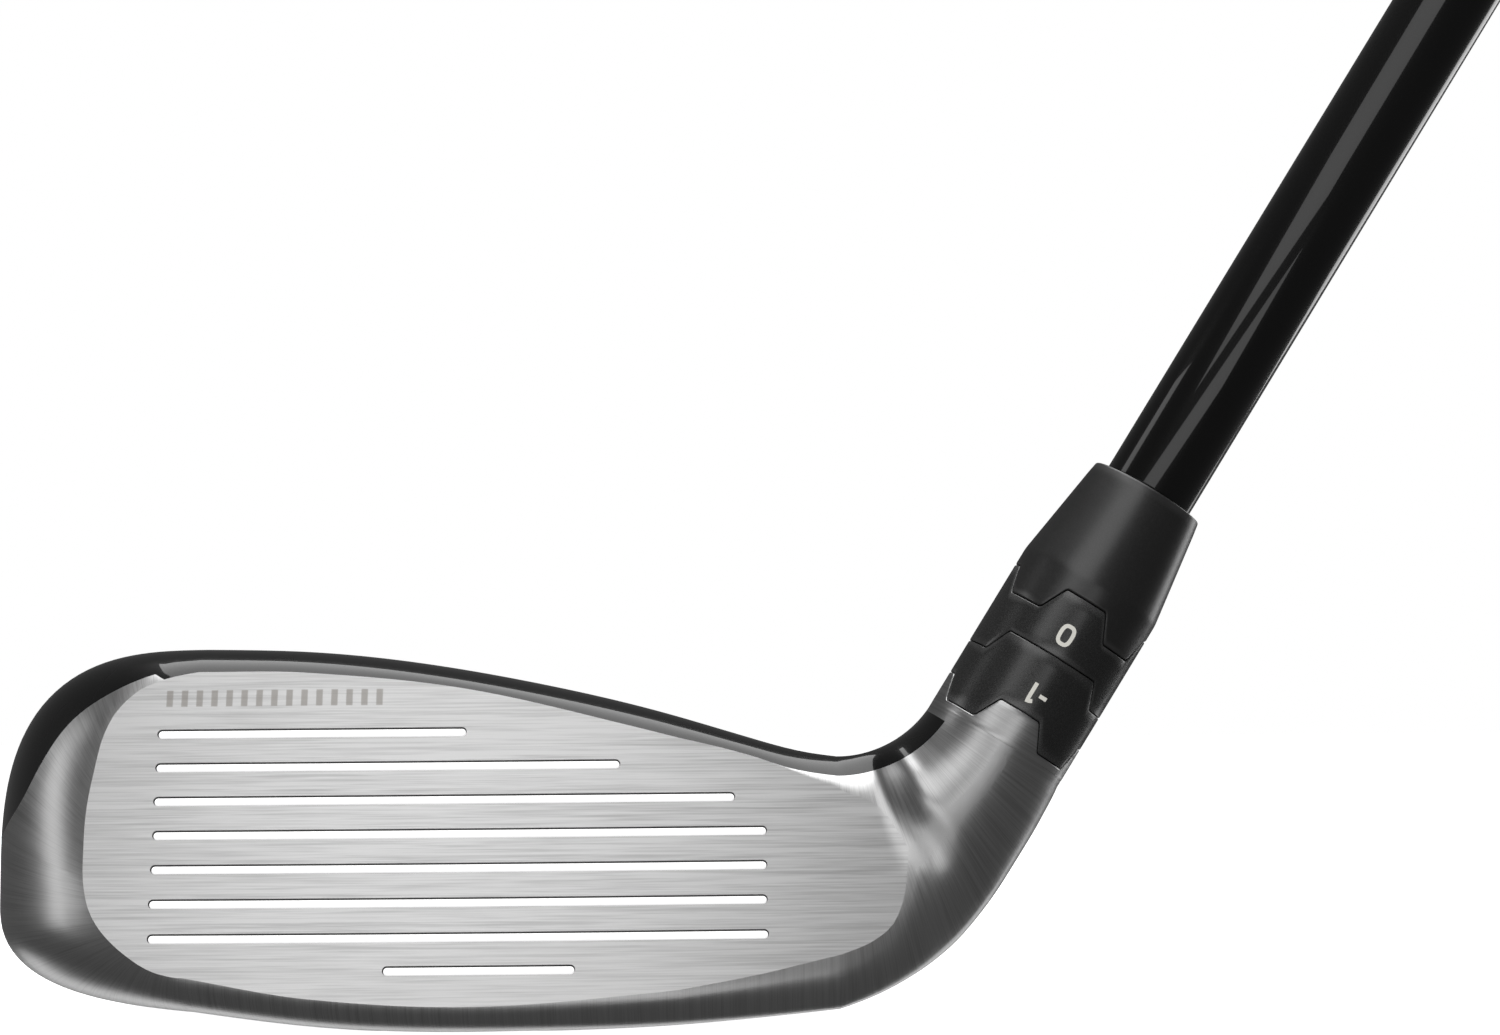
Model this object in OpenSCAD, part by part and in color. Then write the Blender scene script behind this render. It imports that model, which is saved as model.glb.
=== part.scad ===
// Adjustable hybrid golf club at address: toe towards -X, heel and shaft towards +X,
// face towards -Y, +Z up. The origin is the flat of the sole that touches the ground.

/* [Club] */
// Angle between the shaft and the ground, degrees
lie_deg = 58; // [56:0.5:60]
// Angle of the face back from the vertical, degrees
loft_deg = 20; // [18:0.5:22]
// Length from the ground to the butt, along the shaft
club_length = 1022; // [960:1:1080]

/* [Head] */
// Depth of the trailing edge behind the origin
back_y = 40; // [38:0.5:42]
// Thickness of the crown shell
crown_t = 0.9; // [0.6:0.1:1.4]
// Thickness of the hitting face
face_t = 2.4; // [1.8:0.1:3]
// Thickness of the cast walls
wall_t = 1.7; // [1.2:0.1:2.4]
// Horizontal bulge radius of the face
bulge_r = 400; // [300:10:600]

/* [Score lines] */
// Spacing of the score lines up the face
line_pitch = 3.51; // [3.2:0.01:3.8]
// Width of a score line
line_w = 0.85; // [0.6:0.05:1]
// Depth of a score line
line_depth = 0.45; // [0.3:0.05:0.5]

/* [Hosel and cogs] */
// Outer radius of the hosel, the cogs and the collar
hosel_r = 7.55; // [7.4:0.05:7.8]
// Outer radius of the adapter sleeve
sleeve_r = 5.65; // [5.5:0.05:5.7]
// Radial running clearance around the sleeve
run_gap = 0.07; // [0.05:0.01:0.1]
// Gap between mating teeth
tooth_gap = 0.1; // [0.06:0.02:0.16]
// Half width of a narrow tooth at its tip
tooth_tip = 2.2; // [2:0.05:2.3]
// Half width of a narrow tooth at its root
tooth_root = 3.6; // [3.5:0.05:3.7]

/* [Shaft and grip] */
// Radius of the shaft's parallel tip
tip_r = 4.7; // [4.5:0.05:4.75]
// Radius of the shaft's butt
butt_r = 7.62; // [7.3:0.01:7.8]
// Length of the grip
grip_length = 268; // [255:1:280]
// Outer radius of the grip a hand's width below its cap
grip_r = 11.4; // [11:0.1:12.2]

/* [Hidden] */
$fn = 64;

// The shaft's axis leaves the ground here and leans towards +X.
axis_x = 34.3;
axis_y = 0;
// Stations along the axis, measured from the ground.
screw_bottom_s = 7.6;
screw_top_s = 10.6;
washer_top_s = 11.2;
web_s = 21.2;
sleeve_bottom_s = 22;
tube_r = 6.2;
hosel_root_s = 33.4;
hosel_tip_s = 36.1;
mid_root_s = 39.8;
mid_tip_s = 42.4;
upper_root_s = 45.9;
upper_tip_s = 48.7;
collar_kink_s = 50.7;
sleeve_top_s = 56;
collar_top_s = 61.8;
shaft_tip_s = 33.2;
collar_top_r = 5.97;
bore_r = sleeve_r + run_gap;
fit = 0.05;

// The neck turns about this pivot, seen along Y.
neck_x = 35.5;
neck_z = 36.9;
// Stations along the head: X up to the pivot, then degrees around it, then millimetres.
neck_m = neck_x;
hosel_m = neck_x + lie_deg;
face_end_m = 54.8;
crown_end_m = 91.5;
head_end_m = hosel_m + 0.7;

// The toe is a fan of ribs about an axis along Y.
fan_x = -28;
fan_a = 22.3;
fan_top = 25.6;
fan_bottom = 10.3;
paint_start = 99;
paint_end = 163;
// Past this station the crown's painted edge leaves the face and keeps its own width.
band_m = 28;
paint_band = 1.9;

function sq(a) = a * a;
function mix(a, b, w) = a + (b - a) * w;
function clamp01(a) = min(1, max(0, a));
function smooth(a, b, t) = let(u = clamp01((t - a) / (b - a))) u * u * (3 - 2 * u);
function round4(p) = [for (c = p) round(c * 10000) / 10000];

// A smooth curve through knots [t, value], where a value may be a number or a vector.
function knot(k, t, i = 0) = (i >= len(k) - 2 || t <= k[i + 1][0]) ? i : knot(k, t, i + 1);
function slope(k, i) =
  let(a = max(i - 1, 0), b = min(i + 1, len(k) - 1)) (k[b][1] - k[a][1]) / (k[b][0] - k[a][0]);
function curve(k, t) =
  let(
    i = knot(k, t),
    w = k[i + 1][0] - k[i][0],
    u = clamp01((t - k[i][0]) / w),
    h = u * u * (3 - 2 * u)
  )
  k[i][1] * (1 - h) + k[i + 1][1] * h
  + slope(k, i) * w * u * (1 - u) * (1 - u) - slope(k, i + 1) * w * u * u * (1 - u);

// Outlines of the head against the station m.
top_z = [
  [-28, 37.6], [-18, 37.3], [-6, 36], [6, 33.8], [18, 30.9], [28, 27.9], [32.4, 26.76], [35.5, 26.3]
];
sole_z = [[-28, 1.7], [-17, 0.4], [-9, -0.1], [6, -0.1], [18, 0.3], [30, 1.2], [35.5, 1.7]];
middle_d = [[20, 24.9], [35.5, 24.1], [45, 22.9], [54.8, 20.8], [70, 19.1], [93.5, 18.54]];
outer_d = [
  [35.5, 35.2], [43.5, 33.8], [55.5, 31.6], [65.5, 29.5], [75.5, 27.7], [85.5, 26.6], [93.5, 26.09]
];
inner_d = [[35.5, 10.6], [60, 10.7], [93.5, 10.99]];
face_top = [
  [-28, 23.25], [-17.5, 23.1], [-1.6, 21.4], [14.4, 17.7], [26.9, 14.2], [35.5, 10.6],
  [46.5, 7.5], [52.3, 3.9], [54.8, 0.01]
];
face_low = [
  [-28, 6.4], [-16, 8.4], [0, 9.25], [17.5, 8.1], [26.7, 7], [35.5, 5.6],
  [42.3, 5.2], [46.9, 4.6], [50.6, 3], [54.8, 0.01]
];
fan_face = [
  [90, 23.25], [104, 22.45], [112, 21.2], [118, 19.6], [127, 16.7], [138, 14.2], [150, 12.2],
  [163, 10.9], [180, 9.6], [203, 7.85], [222, 6.95], [250, 6.45], [270, 6.4]
];
fan_paint = [[99, 23.6], [112, 23.1], [125, 22.6], [141, 21.3], [151, 21.1], [163, 22.4]];
// Depths against the station m, and around the toe.
top_y = [[-28, 4.5], [0, 3], [20, 1], [35.5, -0.8], [50, -0.8], [65, -0.2], [93.5, 0]];
sole_y = [[-28, -3], [0, -7], [20, -8], [35.5, -7], [60, -2.6], [75, -0.6], [93.5, 0]];
rear_y = [
  [-28, 35.5], [-22, 36.2], [-12, 38.9], [-3, 40], [8, 39], [20, 33.5], [28, 26], [35.5, 17.5],
  [45, 11.6], [55, 9], [65, 8], [80, 7.6], [93.5, 7.55]
];
fan_y = [[90, 4.5], [135, 9], [180, 12], [225, 6.5], [270, -3]];
function back(m) = curve(rear_y, m) + (back_y - rear_y[3][1]) * (1 - smooth(20, 50, m));

// Section frame at station m: its middle [x, z], and the direction from the middle to the top.
function neck_turn(m) = min(max(m - neck_m, 0), lie_deg);
function middle(m) =
  m <= neck_m ? [m, neck_z - curve(middle_d, m)]
  : let(t = neck_turn(m), d = curve(middle_d, m), e = max(m - hosel_m, 0))
    [neck_x + sin(t) * d + cos(t) * e, neck_z - cos(t) * d + sin(t) * e];
function upward(m) = [-sin(neck_turn(m)), cos(neck_turn(m))];
function reach_top(m) = m <= neck_m ? curve(top_z, m) - middle(m)[1] : curve(middle_d, m) - curve(inner_d, m);
function reach_low(m) =
  m <= neck_m ? middle(m)[1] - curve(sole_z, m)
  : max(hosel_r, curve(outer_d, m) - curve(middle_d, m) - max(m - hosel_m, 0));

// The face leans back by the loft and bulges; towards the hosel it becomes the hosel's front.
function face_y(x, z) = -14 + (z - 3) * tan(loft_deg) + sq(x + 1) / (2 * bulge_r);
function front_y(m, x, z) = mix(face_y(x, z), axis_y - hosel_r, smooth(50, 68, m));

// One rib runs from the middle of the front, over the edge, to the middle of the back.
// It is [kind, station or fan angle]; kinds are 0 for upper, 1 for lower and 2 for the toe fan.
UPPER = 0;
LOWER = 1;
FAN = 2;
function super_r(a) =
  let(b = a < 180 ? fan_top : fan_bottom, n = a < 180 ? 2.9 : 2.5)
  pow(pow(abs(cos(a)) / fan_a, n) + pow(abs(sin(a)) / b, n), -1 / n);
function rib_m(rib) = rib[0] == FAN ? fan_x : rib[1];
function rib_dir(rib) =
  rib[0] == UPPER ? upward(rib[1]) : rib[0] == LOWER ? -upward(rib[1]) : [cos(rib[1]), sin(rib[1])];
function rib_reach(rib) =
  rib[0] == UPPER ? reach_top(rib[1]) : rib[0] == LOWER ? reach_low(rib[1]) : super_r(rib[1]);
function rib_face(rib) =
  rib[0] != FAN && rib[1] >= face_end_m ? 0
  : rib[0] == UPPER ? curve(face_top, rib[1])
  : rib[0] == LOWER ? curve(face_low, rib[1]) : curve(fan_face, rib[1]);
function rib_paint(rib) =
  rib[0] == UPPER && rib[1] > band_m ? max(rib_face(rib), rib_reach(rib) - paint_band)
  : rib[0] != FAN || rib[1] <= paint_start || rib[1] > paint_end ? rib_face(rib)
  : max(curve(fan_paint, rib[1]), rib_face(rib));
function rib_edge_y(rib) =
  rib[0] == UPPER ? curve(top_y, rib[1])
  : rib[0] == LOWER ? curve(sole_y, rib[1]) : curve(fan_y, rib[1]);
function rib_crease(rib) =
  rib[0] == FAN ? mix(0.08, 0.25, sq(sin(rib[1] - 90))) : 0.08 * (1 - smooth(40, 70, rib[1]));
function rib_power(rib) =
  rib[0] == LOWER ? mix(2.8, 2, smooth(30, 70, rib[1]))
  : rib[0] == FAN ? mix(2, 2.8, smooth(150, 270, rib[1])) : 2;

// Breaks along a rib: face, bare edge, painted edge, back.
J_FACE = 2;
J_BARE = 4;
J_EDGE = 8;
J_BACK = 15;
function edge_turn(c, v) = c * v + (1 - c) * (1 - sqrt(max(0, 1 - v * v)));
function rib_flat(rib, j) =
  let(
    f = rib_face(rib),
    s = rib_reach(rib),
    vp = clamp01((rib_paint(rib) - f) / (s - f)),
    v = j <= J_FACE ? 0
      : j <= J_BARE ? vp * (j - J_FACE) / (J_BARE - J_FACE)
      : sin(mix(asin(vp), 90, min(1, (j - J_BARE) / (J_EDGE - J_BARE)))),
    q = clamp01((j - J_EDGE) / (J_BACK - J_EDGE)) * 90,
    n = 2 / rib_power(rib),
    r = j <= J_FACE ? f * j / J_FACE : j <= J_EDGE ? mix(f, s, v) : s * pow(max(0, cos(q)), n),
    m = rib_m(rib),
    p = middle(m) + rib_dir(rib) * r,
    e = middle(m) + rib_dir(rib) * s,
    ye = rib_edge_y(rib),
    y = j <= J_EDGE
      ? front_y(m, p[0], p[1]) + (ye - front_y(m, e[0], e[1])) * edge_turn(rib_crease(rib), v)
      : mix(ye, back(m), pow(sin(q), n))
  )
  [r, y];
// The rib's own normal, pointing out, as [r, y].
function rib_normal(rib, j) =
  j >= J_BACK ? [0, 1] : j <= J_FACE ? [0, -1]
  : let(a = rib_flat(rib, j - 0.05), b = rib_flat(rib, j + 0.05), d = b - a)
    norm(d) > 0.0001 ? [d[1], -d[0]] / norm(d) : j < J_BARE + 0.5 ? [0, -1] : [1, 0];
function rib_point(rib, j, inset = 0) =
  let(
    f = rib_flat(rib, j) - inset * rib_normal(rib, j),
    p = middle(rib_m(rib)) + rib_dir(rib) * f[0]
  )
  round4([p[0], f[1], p[1]]);

// Faces between neighbouring rows of points, without the ones that have no area.
function flat_tri(p, f) =
  p[f[0]] == p[f[1]] || p[f[1]] == p[f[2]] || p[f[0]] == p[f[2]];
function grid_faces(p, rows, cols, turn) = [
  for (i = [0 : rows - 2], j = [0 : cols - 2], k = [0, 1])
    let(
      a = i * cols + j,
      f = k == 0 ? [a, a + 1, a + cols + 1] : [a, a + cols + 1, a + cols],
      g = turn ? [f[2], f[1], f[0]] : f
    )
    if (!flat_tri(p, g)) g
];

// A band shell over neighbouring ribs, with its two ends closed.
module band(ribs, breaks, inset) {
  n = len(breaks);
  columns = concat(
    [for (j = breaks) [j, 0]],
    [for (k = [n - 1 : -1 : 0]) [breaks[k], inset]],
    [[breaks[0], 0]]
  );
  rows = len(ribs);
  cols = len(columns);
  points = [for (rib = ribs, c = columns) rib_point(rib, c[0], c[1])];
  ends = [
    for (k = [0 : n - 2], last = [0, 1], half = [0, 1])
      let(
        b = last * (rows - 1) * cols,
        q = [b + k, b + k + 1, b + 2 * n - 2 - k, b + 2 * n - 1 - k],
        f = half == 0 ? [q[0], q[1], q[2]] : [q[0], q[2], q[3]],
        g = last == 1 ? [f[2], f[1], f[0]] : f
      )
      if (!flat_tri(points, g)) g
  ];
  polyhedron(points, concat(grid_faces(points, rows, cols, true), ends));
}

// Stations from the hosel to the toe, and the toe's fan.
neck_stations = [84, 77, 70, 63, 58];
face_stations = [51, 46, 41, neck_m, 28, 20, 10, 0, -10, -19, fan_x];
painted_fan = [paint_start, 107, 115, 124, 133, 142, 152, paint_end];
bare_fan = [paint_end + 0.01, 172, 181, 192, 205, 222, 245];
function reversed(a) = [for (k = [len(a) - 1 : -1 : 0]) a[k]];

// Each row of the body: its rib, whether the face lies on it, and whether the crown does.
body_rows = concat(
  [[[UPPER, head_end_m], 0, 0], [[UPPER, hosel_m], 0, 0], [[UPPER, crown_end_m], 0, 0]],
  [[[UPPER, crown_end_m], 0, 1]],
  [for (m = neck_stations) [[UPPER, m], 0, 1]],
  [[[UPPER, face_end_m], 0, 1], [[UPPER, face_end_m], 1, 1]],
  [for (m = face_stations) [[UPPER, m], 1, 1]],
  [for (a = painted_fan) [[FAN, a], 1, 1]],
  [for (a = bare_fan) [[FAN, a], 1, 0]],
  [for (m = reversed(face_stations)) [[LOWER, m], 1, 0]],
  [[[LOWER, face_end_m], 1, 0], [[LOWER, face_end_m], 0, 0]],
  [for (m = reversed(neck_stations)) [[LOWER, m], 0, 0]],
  [[[LOWER, crown_end_m], 0, 0], [[LOWER, crown_end_m], 0, 0], [[LOWER, hosel_m], 0, 0]],
  [[[LOWER, head_end_m], 0, 0], [[UPPER, head_end_m], 0, 0]]
);
back_breaks = [for (j = [J_BARE : J_BACK]) j];

// The casting's outside, set back under the face and under the crown.
module body_outside() {
  fi = face_t + fit;
  ci = crown_t + fit;
  cols = 7 + len(back_breaks);
  points = [
    for (row = body_rows)
      let(f = row[1] * fi, c = row[2] * ci)
      for (
        e = concat(
          [[0, f], [1, f], [J_FACE, f], [J_FACE, 0], [J_FACE + 1, 0], [J_BARE, 0]],
          [for (j = back_breaks) [j, c]],
          [[J_BACK, 0]]
        )
      ) rib_point(row[0], e[0], e[1])
  ];
  polyhedron(points, grid_faces(points, len(body_rows), cols, true));
}

// The hollow behind the face.
cavity_stations = [26, 18, 9, 0, -10, -19, fan_x];
cavity_fan = [105, 120, 135, 150, 165, 180, 195, 212, 232, 250];
module cavity() {
  fi = face_t + 1.6;
  ribs = concat(
    [for (m = cavity_stations) [UPPER, m]],
    [for (a = cavity_fan) [FAN, a]],
    [for (m = reversed(cavity_stations)) [LOWER, m]],
    [[UPPER, cavity_stations[0]]]
  );
  points = [
    for (rib = ribs)
      let(w = rib[0] == UPPER || (rib[0] == FAN && rib[1] < paint_end) ? crown_t + 1.3 : wall_t)
      for (e = [[0, fi], [1.5, fi], [9.5, w], [11, w], [12.5, w], [14, w], [J_BACK, wall_t]])
        rib_point(rib, e[0], e[1])
  ];
  polyhedron(points, grid_faces(points, len(ribs), 7, true));
}

// Openings that the crown and the face close.
opening_stations = [-26, -18, -10, 0, 10, 18, 24];
module crown_opening() {
  ledge = 6;
  outline = concat(
    [for (m = opening_stations) [m, curve(top_y, m) + ledge]],
    [for (m = reversed(opening_stations)) [m, back(m) - ledge]]
  );
  translate([0, 0, 17]) linear_extrude(40) polygon(outline);
}
module face_opening() {
  outline = concat(
    [for (m = opening_stations) [m, middle(m)[1] + curve(face_top, m) * 0.72]],
    [for (m = reversed(opening_stations)) [m, middle(m)[1] - curve(face_low, m) * 0.6]]
  );
  translate([0, 3, 0]) rotate([90, 0, 0]) linear_extrude(30) polygon(outline);
}

// Places its children on the shaft's axis, s above the ground.
module along(s) {
  translate([axis_x, axis_y, 0]) rotate([0, 90 - lie_deg, 0]) translate([0, 0, s]) children();
}
module tube(inner, outer, height) {
  difference() {
    cylinder(r = outer, h = height);
    translate([0, 0, -1]) cylinder(r = inner, h = height + 2);
  }
}

port_y = 27;
port_z = 1.9;
port_tilt = 11.3;
port_r = 8;
module port_place() {
  translate([0, port_y, port_z]) rotate([port_tilt, 0, 0]) children();
}

// The stepped hole for the hosel tube, open to the sole below the screw.
pocket_r = 4.6;
web_r = 3.6;
module hosel_hole() {
  along(0) rotate_extrude() polygon([
    [0, -6], [pocket_r, -6], [pocket_r, washer_top_s], [web_r + fit, washer_top_s],
    [web_r + fit, web_s], [tube_r + fit, web_s], [tube_r + fit, 45], [0, 45]
  ]);
}

// Stiffening ribs cast into the floor of the hollow.
rib_stations = [-28, -25, -22, -19, -16, 17, 20, 23];
module sole_ribs() {
  for (m = rib_stations)
    hull() for (y = [-1, 17])
      translate([m, y, curve(sole_z, m) + 1.25]) cylinder(r = 0.7, h = 2.7, $fn = 16);
}

module head_body() {
  color([0.62, 0.63, 0.64]) difference() {
    union() {
      difference() {
        body_outside();
        cavity();
        crown_opening();
        face_opening();
      }
      sole_ribs();
    }
    hosel_hole();
    port_place() translate([0, 0, -6]) cylinder(r = port_r + fit, h = 16);
    translate([-100, -100, -10]) cube([200, 200, 10]);
  }
}

module face_cup() {
  ribs = concat(
    [for (m = concat([face_end_m], face_stations)) [UPPER, m]],
    [for (a = concat(painted_fan, [for (k = [1 : len(bare_fan) - 1]) bare_fan[k]])) [FAN, a]],
    [for (m = reversed(concat([face_end_m], face_stations))) [LOWER, m]]
  );
  columns = [[0, face_t], [1, face_t], [J_FACE, face_t], [J_FACE, 0], [1, 0], [0, 0]];
  points = [for (rib = ribs, c = columns) rib_point(rib, c[0], c[1])];
  color([0.78, 0.78, 0.79]) difference() {
    polyhedron(points, grid_faces(points, len(ribs), len(columns), false));
    score_lines(line_depth, -1, 0);
    hosel_hole();
  }
}

// Each score line: its first and last X, and its place up the face, counted in pitches.
score_rows = [
  [-31.2, -0.7, 7], [-31.1, 14.5, 6], [-31.1, 25.8, 5], [-31, 28.9, 4], [-31, 28.9, 3],
  [-31, 28.9, 2], [-30.9, 29, 1], [-8.2, 10.1, 0.05]
];
line_base_z = 6;
line_step = 9;
// Round-ended lines that follow the bulge, from depth d0 up to d1 below the face.
module score_lines(d0, d1, trim) {
  r = line_w / 2 - trim;
  for (row = score_rows) {
    z = line_base_z + row[2] * line_pitch * cos(loft_deg);
    x0 = row[0] + line_w / 2;
    x1 = row[1] - line_w / 2;
    n = ceil((x1 - x0) / line_step);
    for (k = [0 : n - 1])
      hull() for (x = [mix(x0, x1, k / n), mix(x0, x1, (k + 1) / n)])
        translate([x, face_y(x, z), z]) rotate([90 - loft_deg, 0, 0])
          translate([0, 0, -d0]) cylinder(r = r, h = d0 - d1, $fn = 12);
  }
}
module score_line_paint() {
  color([0.97, 0.97, 0.97]) score_lines(line_depth - 0.02, 0.12, 0.02);
}

module crown() {
  ribs = concat(
    [for (m = concat([crown_end_m], neck_stations, [face_end_m], face_stations)) [UPPER, m]],
    [for (a = painted_fan) [FAN, a]]
  );
  color([0.02, 0.02, 0.025]) band(ribs, back_breaks, crown_t);
}

// Teeth: narrow blocks across the axis, h high and reaching below their root level.
module teeth(root, tip, h, ways) {
  for (k = [0 : ways - 1])
    rotate([0, 0, 90 * k]) rotate([90, 0, 0]) translate([0, 0, -10]) linear_extrude(20)
      polygon([[-root, -6], [-root, 0], [-tip, h], [tip, h], [root, 0], [root, -6]]);
}
wide_tip = 4.85;
wide_root = 5.95;
tooth_h = hosel_tip_s - hosel_root_s;
wide_h = mid_tip_s - mid_root_s;
upper_h = upper_tip_s - upper_root_s;
side_gap = tooth_gap * 0.6;

// A ring from s0 up, with teeth at its top.
module toothed_ring(s0, root_s, h, root, tip, ways) {
  intersection() {
    along(s0) tube(bore_r, hosel_r, root_s + h - s0);
    along(root_s) union() {
      translate([0, 0, -30]) cylinder(r = hosel_r + 1, h = 30);
      teeth(root, tip, h, ways);
    }
  }
}

tube_step_s = 32.65;
module hosel_tube() {
  color([0.6, 0.61, 0.62]) difference() {
    union() {
      along(washer_top_s) cylinder(r = web_r, h = web_s - washer_top_s + 0.4);
      along(web_s) cylinder(r = tube_r, h = tube_step_s - web_s + 0.5);
      intersection() {
        along(tube_step_s) cylinder(r = hosel_r, h = hosel_tip_s - tube_step_s);
        along(hosel_root_s) union() {
          translate([0, 0, -5]) cylinder(r = hosel_r + 1, h = 5);
          teeth(tooth_root, tooth_tip, tooth_h, 2);
        }
      }
    }
    along(sleeve_bottom_s) cylinder(r = bore_r, h = 40);
    along(0) cylinder(r = 2.35, h = 30);
  }
}

module toe_stiffening_bar() {
  color([0.6, 0.6, 0.62]) translate([-14, 3, 3.2]) cylinder(r = 2.4, h = 26.6);
}
module heel_stiffening_bar() {
  color([0.6, 0.6, 0.62]) translate([14, 3, 3.2]) cylinder(r = 2.4, h = 22.6);
}
module internal_weight() {
  color([0.35, 0.35, 0.37]) difference() {
    translate([-11, 7.5, 2.9]) cube([22, 8, 5.5]);
    translate([0, 11.5, 2]) cylinder(r = 1.2, h = 8);
  }
}

module weight_port() {
  color([0.5, 0.5, 0.52]) port_place() difference() {
    translate([0, 0, 0.2]) cylinder(r = port_r, h = 8.5);
    translate([0, 0, -1]) cylinder(r = 6.1, h = 4.8);
    translate([0, 0, 1]) cylinder(r = 3, h = 6.6);
  }
}
module rear_weight_screw() {
  color([0.3, 0.3, 0.32]) port_place() difference() {
    union() {
      translate([0, 0, 0.4]) cylinder(r = 6.05, h = 3.35);
      translate([0, 0, 3]) cylinder(r = 2.97, h = 4.4);
    }
    translate([0, 0, -1]) cylinder(r = 2.1, h = 3.6, $fn = 6);
  }
}

module hosel_screw() {
  color([0.35, 0.35, 0.37]) difference() {
    union() {
      along(screw_bottom_s) cylinder(r = 3.9, h = screw_top_s - screw_bottom_s);
      along(screw_bottom_s + 1) cylinder(r = 2.25, h = 23.2);
    }
    along(screw_bottom_s - 1) cylinder(r = 1.9, h = 3, $fn = 6);
  }
}
module screw_washer() {
  color([0.7, 0.7, 0.7]) along(screw_top_s + 0.03) tube(2.4, 4.2, washer_top_s - screw_top_s - 0.04);
}
module screw_retainer() {
  color([0.15, 0.15, 0.15]) along(sleeve_bottom_s + 0.05) tube(2.3, 3.3, 0.8);
}

// Painted marks face -Y; they are read with the grip down.
mark_depth = 0.2;
module mark_ring(s) {
  intersection() {
    along(s - 2) tube(hosel_r - mark_depth, hosel_r, 4);
    along(s) rotate([90, 0, 0]) linear_extrude(10) children();
  }
}
module one_glyph() {
  translate([-0.2, -1.1]) square([0.4, 2.2]);
  translate([0.15, -1.1]) square([0.45, 0.4]);
  translate([0.95, -0.2]) square([0.75, 0.35]);
}
module zero_glyph() {
  difference() {
    translate([-0.8, -1.1]) square([1.6, 2.2]);
    translate([-0.4, -0.7]) square([0.8, 1.4]);
  }
}
loft_mark_s = 38.3;
lie_mark_s = 44.8;

ring_r = 0.5;
ring_at = sleeve_r + run_gap / 2 + ring_r;
loft_ring_s = 38;
lie_ring_s = 44.2;
module o_ring(s) {
  along(s) rotate_extrude() translate([ring_at, 0]) circle(r = ring_r, $fn = 24);
}
module ring_groove(s) {
  along(s - ring_r - 0.06) cylinder(r = ring_at + ring_r + 0.06, h = 2 * (ring_r + 0.06));
}

module loft_cog() {
  color([0.09, 0.09, 0.1]) difference() {
    toothed_ring(hosel_root_s + tooth_gap, mid_root_s, wide_h, wide_root, wide_tip, 1);
    along(hosel_root_s + tooth_gap)
      teeth(tooth_root + side_gap, tooth_tip + side_gap, tooth_h, 2);
    ring_groove(loft_ring_s);
    mark_ring(loft_mark_s) one_glyph();
  }
}
module loft_cog_mark() {
  color([0.8, 0.8, 0.76]) mark_ring(loft_mark_s) one_glyph();
}
module lie_cog() {
  color([0.09, 0.09, 0.1]) difference() {
    toothed_ring(mid_root_s + tooth_gap, upper_root_s, upper_h, tooth_root, tooth_tip, 2);
    along(mid_root_s + tooth_gap)
      teeth(wide_root + side_gap, wide_tip + side_gap, wide_h, 1);
    ring_groove(lie_ring_s);
    mark_ring(lie_mark_s) zero_glyph();
  }
}
module lie_cog_mark() {
  color([0.8, 0.8, 0.76]) mark_ring(lie_mark_s) zero_glyph();
}
module loft_cog_o_ring() {
  color([0.05, 0.05, 0.05]) o_ring(loft_ring_s);
}
module lie_cog_o_ring() {
  color([0.05, 0.05, 0.05]) o_ring(lie_ring_s);
}

module adapter_sleeve() {
  color([0.7, 0.7, 0.72]) along(0) difference() {
    translate([0, 0, sleeve_bottom_s]) cylinder(r = sleeve_r, h = sleeve_top_s - sleeve_bottom_s);
    translate([0, 0, shaft_tip_s]) cylinder(r = tip_r + fit, h = 40);
    translate([0, 0, sleeve_bottom_s - 1]) cylinder(r = 2.3, h = 11.2);
    translate([0, 0, sleeve_bottom_s - 1]) cylinder(r = 3.4, h = 2);
  }
}

module collar() {
  h = collar_top_s - upper_root_s - tooth_gap;
  k = collar_kink_s - upper_root_s - tooth_gap;
  step = sleeve_top_s - upper_root_s - tooth_gap + fit;
  color([0.05, 0.05, 0.055]) difference() {
    along(upper_root_s + tooth_gap) rotate_extrude() polygon([
      [sleeve_r + fit, 0], [hosel_r, 0], [hosel_r, k], [collar_top_r, h - 0.4],
      [collar_top_r - 0.4, h], [tip_r + fit, h], [tip_r + fit, step], [sleeve_r + fit, step]
    ]);
    along(upper_root_s + tooth_gap)
      teeth(tooth_root + side_gap, tooth_tip + side_gap, upper_h, 2);
  }
}

grip_s = club_length - grip_length;
cap_t = 3;
shaft_end_s = club_length - cap_t - 0.5;
taper_s = 150;
shaft_wall = 1.5;
bonded_r = tip_r - 0.04;
function shaft_r(s) = s < taper_s ? tip_r : mix(tip_r, butt_r, (s - taper_s) / (shaft_end_s - taper_s));
module shaft() {
  color([0.02, 0.02, 0.02]) along(0) rotate_extrude() polygon([
    [tip_r - shaft_wall, shaft_tip_s + fit], [bonded_r, shaft_tip_s + fit],
    [bonded_r, collar_top_s], [tip_r, collar_top_s], [tip_r, taper_s],
    [butt_r, shaft_end_s], [butt_r - shaft_wall * 0.7, shaft_end_s], [tip_r - shaft_wall, taper_s]
  ]);
}
module tip_weight() {
  color([0.75, 0.6, 0.3]) along(shaft_tip_s + 0.3) cylinder(r = tip_r - shaft_wall - 0.03, h = 18);
}

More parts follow.
